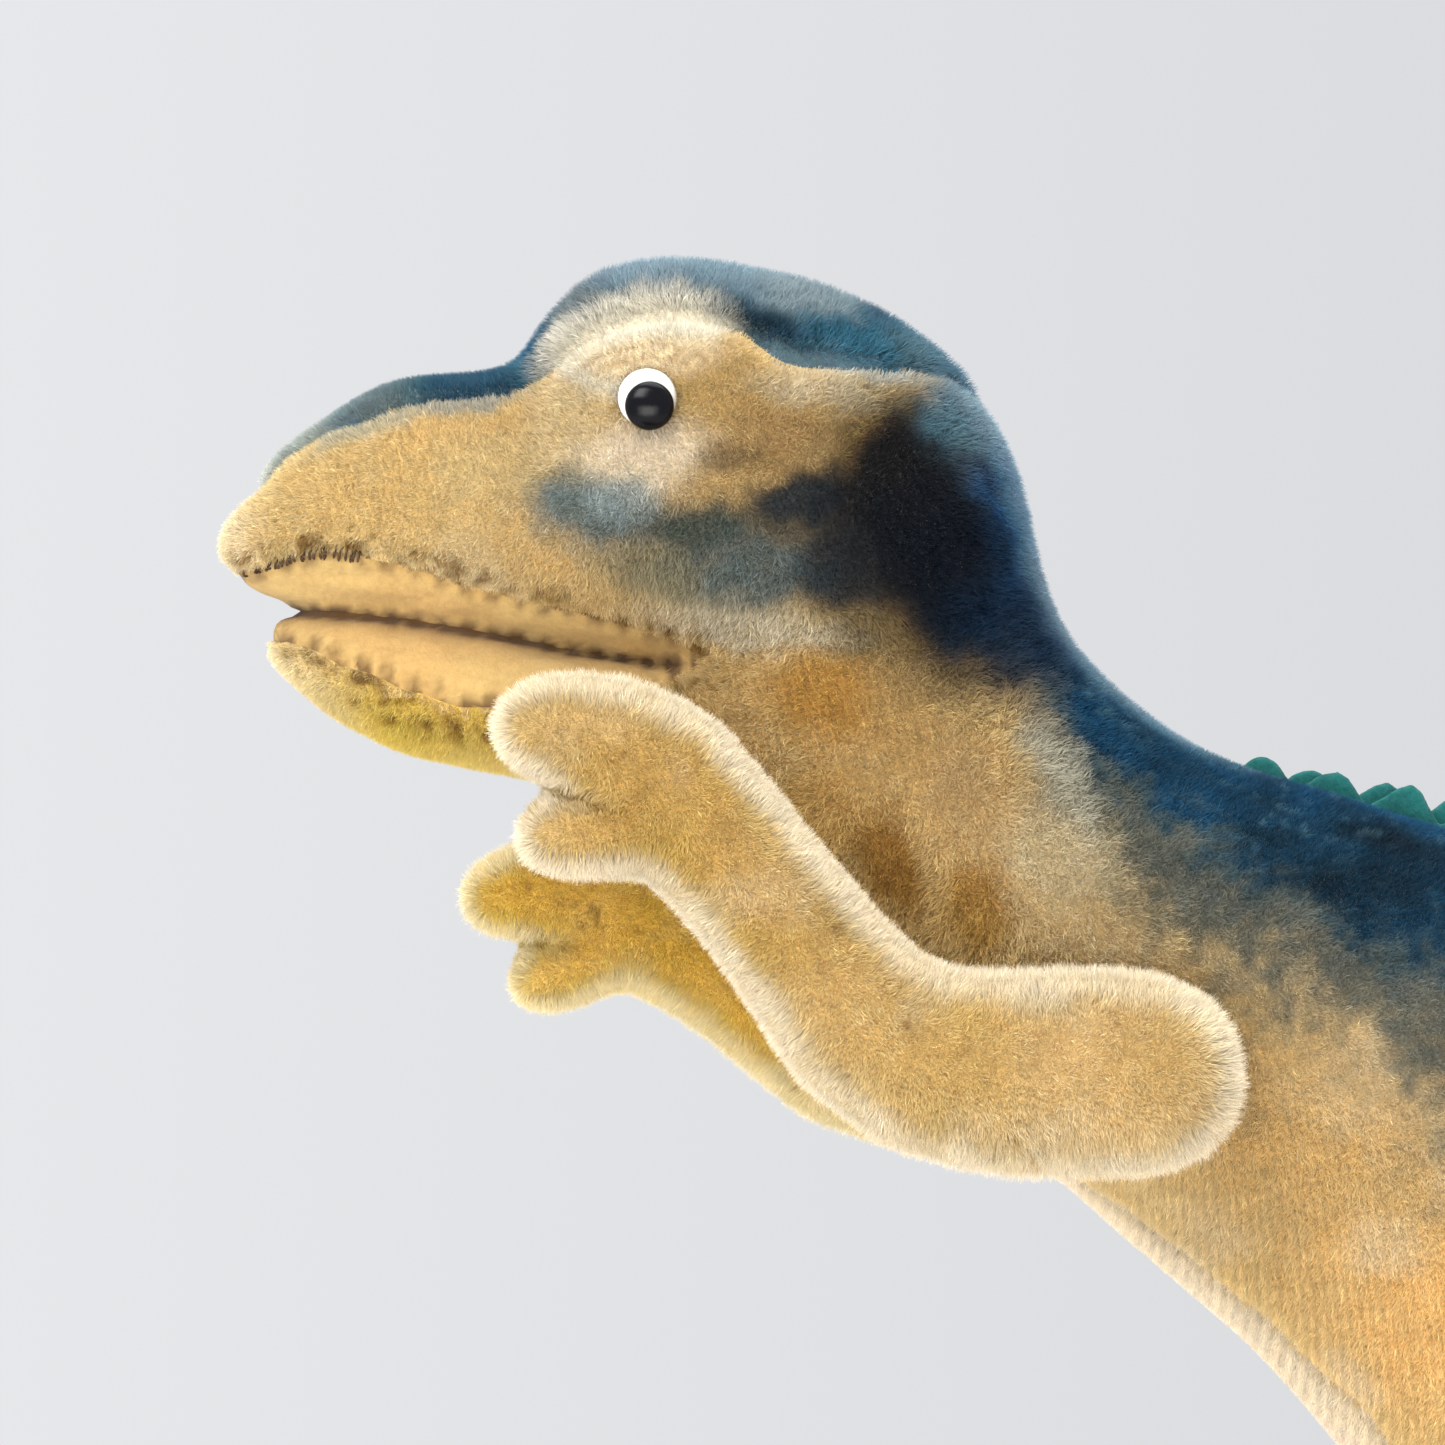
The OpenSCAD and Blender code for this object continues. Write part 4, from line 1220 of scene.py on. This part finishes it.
# ---------------------------------------------------------------- stitches
def tube(paths, radius, sides=8):
    """Round threads along several paths, as one set of points and faces."""
    pts, faces, base = [], [], 0
    for path in paths:
        path = np.asarray(path, float)
        d = np.gradient(path, axis=0)
        d /= np.linalg.norm(d, axis=1)[:, None]
        ref = np.array((0.3, 0.5, 0.81))
        u = np.cross(d, ref)
        u /= np.linalg.norm(u, axis=1)[:, None]
        v = np.cross(d, u)
        for i in range(len(path)):
            r = radius * (0.35 if i in (0, len(path) - 1) else 1.0)
            for k in range(sides):
                a = 2 * math.pi * k / sides
                pts.append(path[i] + r * (math.cos(a) * u[i] + math.sin(a) * v[i]))
        faces += ring_faces(len(path), sides, base)
        base += len(path) * sides
    return np.array(pts), np.array(faces)


tree = BVHTree.FromPolygons(torso.points.tolist(), torso.quads.tolist())


def on_skin(place, lift):
    """The place on the body's skin nearest to this one, raised by lift."""
    hit, normal, _, _ = tree.find_nearest(Vector(place))
    return np.array(hit + normal * lift)


def stitch_row(centres, along, across, lift, steps=7):
    """Threads that arch over the skin, one at each centre."""
    paths = []
    for c in centres:
        wob = rng.normal(0, 0.12, 3) * MM
        path = []
        for k in range(steps):
            s = k / (steps - 1)
            q = np.array(c) + (s - 0.5) * np.array(across) + (s - 0.5) * np.array(along) + wob
            path.append(on_skin(q, lift * math.sin(math.pi * s) - 0.15 * MM))
        paths.append(path)
    return paths


LIP_STITCHES = 26
BELLY_STITCHES = 14
upper = torso.points[np.unique(torso.quads[torso.label == PALATE])]
paths = []
low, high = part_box("mouth_stitches")
for sign in (-1, 1):
    for k in range(LIP_STITCHES):
        y = low.y + (high.y - low.y) * (k + 0.5) / LIP_STITCHES
        near = upper[(np.abs(upper[:, 1] - y) < 0.8 * MM) & (upper[:, 0] * sign > 0)]
        if not len(near):
            continue
        top = near[near[:, 2].argmax()]
        paths += stitch_row([top], (0, 0.7 * MM, 0), (0, 0, 2.1 * MM), 0.9 * MM)
pts, faces = tube(paths, 0.17 * MM)
ob = new_mesh("mouth_overcast_stitches", pts, faces)
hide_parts("mouth_stitches")
dress(ob, "brown")
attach(ob, "torso")
low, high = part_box("closing_seam_stitches")
paths = []
for k in range(BELLY_STITCHES):
    s = (k + 0.5) / BELLY_STITCHES
    c = (0, low.y + (high.y - low.y) * s, high.z + (low.z - high.z) * s)
    paths += stitch_row([c], (0, 1.0 * MM, -1.4 * MM), (6 * MM, 0, 0), 1.6 * MM, 9)
pts, faces = tube(paths, 0.28 * MM)
ob = new_mesh("belly_closing_stitches", pts, faces)
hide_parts("closing_seam_stitches")
dress(ob, "cream")
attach(ob, "torso")

# ---------------------------------------------------------------- pieces that stay as the frame has them
for name, ob in nodes.items():
    if ob.hide_render:
        continue
    if name.endswith("stuffing"):
        kind = "stuffing"
    elif name.endswith("_sole"):
        kind = "sole"
    elif "card" in name or name.endswith("disc"):
        kind = "card"
    else:
        kind = "steel"
    ob.data.materials.clear()
    ob.data.materials.append(MATS[kind])

# ---------------------------------------------------------------- stage, light and camera
pale_floor = Nodes("pale_floor")
at = pale_floor.coordinates()
grain = pale_floor.between(pale_floor.noise(40, 3, 0.6, at), 0.3, 0.7)
shader = pale_floor.surface(pale_floor.mix(grain, (0.74, 0.74, 0.75), (0.72, 0.72, 0.73)), 0.9)
distance = pale_floor.add("ShaderNodeVectorMath", operation="LENGTH")
pale_floor.link(at, distance.inputs[0])
fade = pale_floor.between(distance.outputs["Value"], 0.7, 1.38)
pale_floor.blend(fade, shader, pale_floor.add("ShaderNodeBsdfTransparent"))
bpy.ops.mesh.primitive_circle_add(vertices=96, radius=1.4, fill_type="NGON", location=(0, 0, -0.0005))
floor = bpy.context.object
floor.name = "floor"
floor.data.materials.append(pale_floor.owner)

# The camera sees a pale backdrop, darker towards one side as painted shade. Everything else is lit by a
# bluer fill.
world = bpy.data.worlds.new("studio")
scene.world = world
sky = Nodes(world, "ShaderNodeOutputWorld")
way = sky.add("ShaderNodeTexCoord").outputs["Generated"]
across = sky.add("ShaderNodeSeparateXYZ", {0: way}).outputs["Y"]
backdrop = sky.mix(sky.between(across, -0.2, 0.2), (0.80, 0.81, 0.83), (0.70, 0.71, 0.73))
seen = sky.add("ShaderNodeBackground", {"Color": backdrop, "Strength": 1.0})
fill = sky.add("ShaderNodeBackground", {"Color": (0.86, 0.90, 1.0), "Strength": 1.08})
sky.blend(sky.add("ShaderNodeLightPath").outputs["Is Camera Ray"], fill, seen)


def area_light(name, place, target, size, power, colour):
    """A softbox at a place, turned to its target."""
    light = bpy.data.lights.new(name, "AREA")
    light.shape = "RECTANGLE"
    light.size, light.size_y = size
    light.energy = power
    light.color = colour
    ob = bpy.data.objects.new(name, light)
    scene.collection.objects.link(ob)
    ob.location = place
    ob.rotation_mode = "QUATERNION"
    ob.rotation_quaternion = (Vector(target) - Vector(place)).to_track_quat("-Z", "Y")


head = Vector((0, -0.20, 0.37))
area_light("key", (0.75, -0.75, 1.25), head, (0.7, 0.7), 18.5, (1.0, 0.99, 0.97))
area_light("top", (-0.2, -0.05, 1.4), head, (1.0, 1.0), 12, (0.95, 0.97, 1.0))
area_light("low_fill", (1.0, -0.3, 0.15), head, (0.8, 0.5), 10, (1.0, 0.97, 0.92))

# A level view from the toy's left, square to its side, as in the photo.
CAMERA_PLACE = (0.55, -0.1934, 0.3679)
CAMERA_LENS = 102.8
camera_data = bpy.data.cameras.new("camera")
camera_data.sensor_width = 36
camera_data.lens = CAMERA_LENS
camera_data.clip_start = 0.02
camera_data.dof.use_dof = False
camera = bpy.data.objects.new("camera", camera_data)
scene.collection.objects.link(camera)
camera.location = CAMERA_PLACE
camera.rotation_mode = "QUATERNION"
camera.rotation_quaternion = Vector((-1, 0, 0)).to_track_quat("-Z", "Y")
scene.camera = camera
scene.view_settings.view_transform = "Standard"
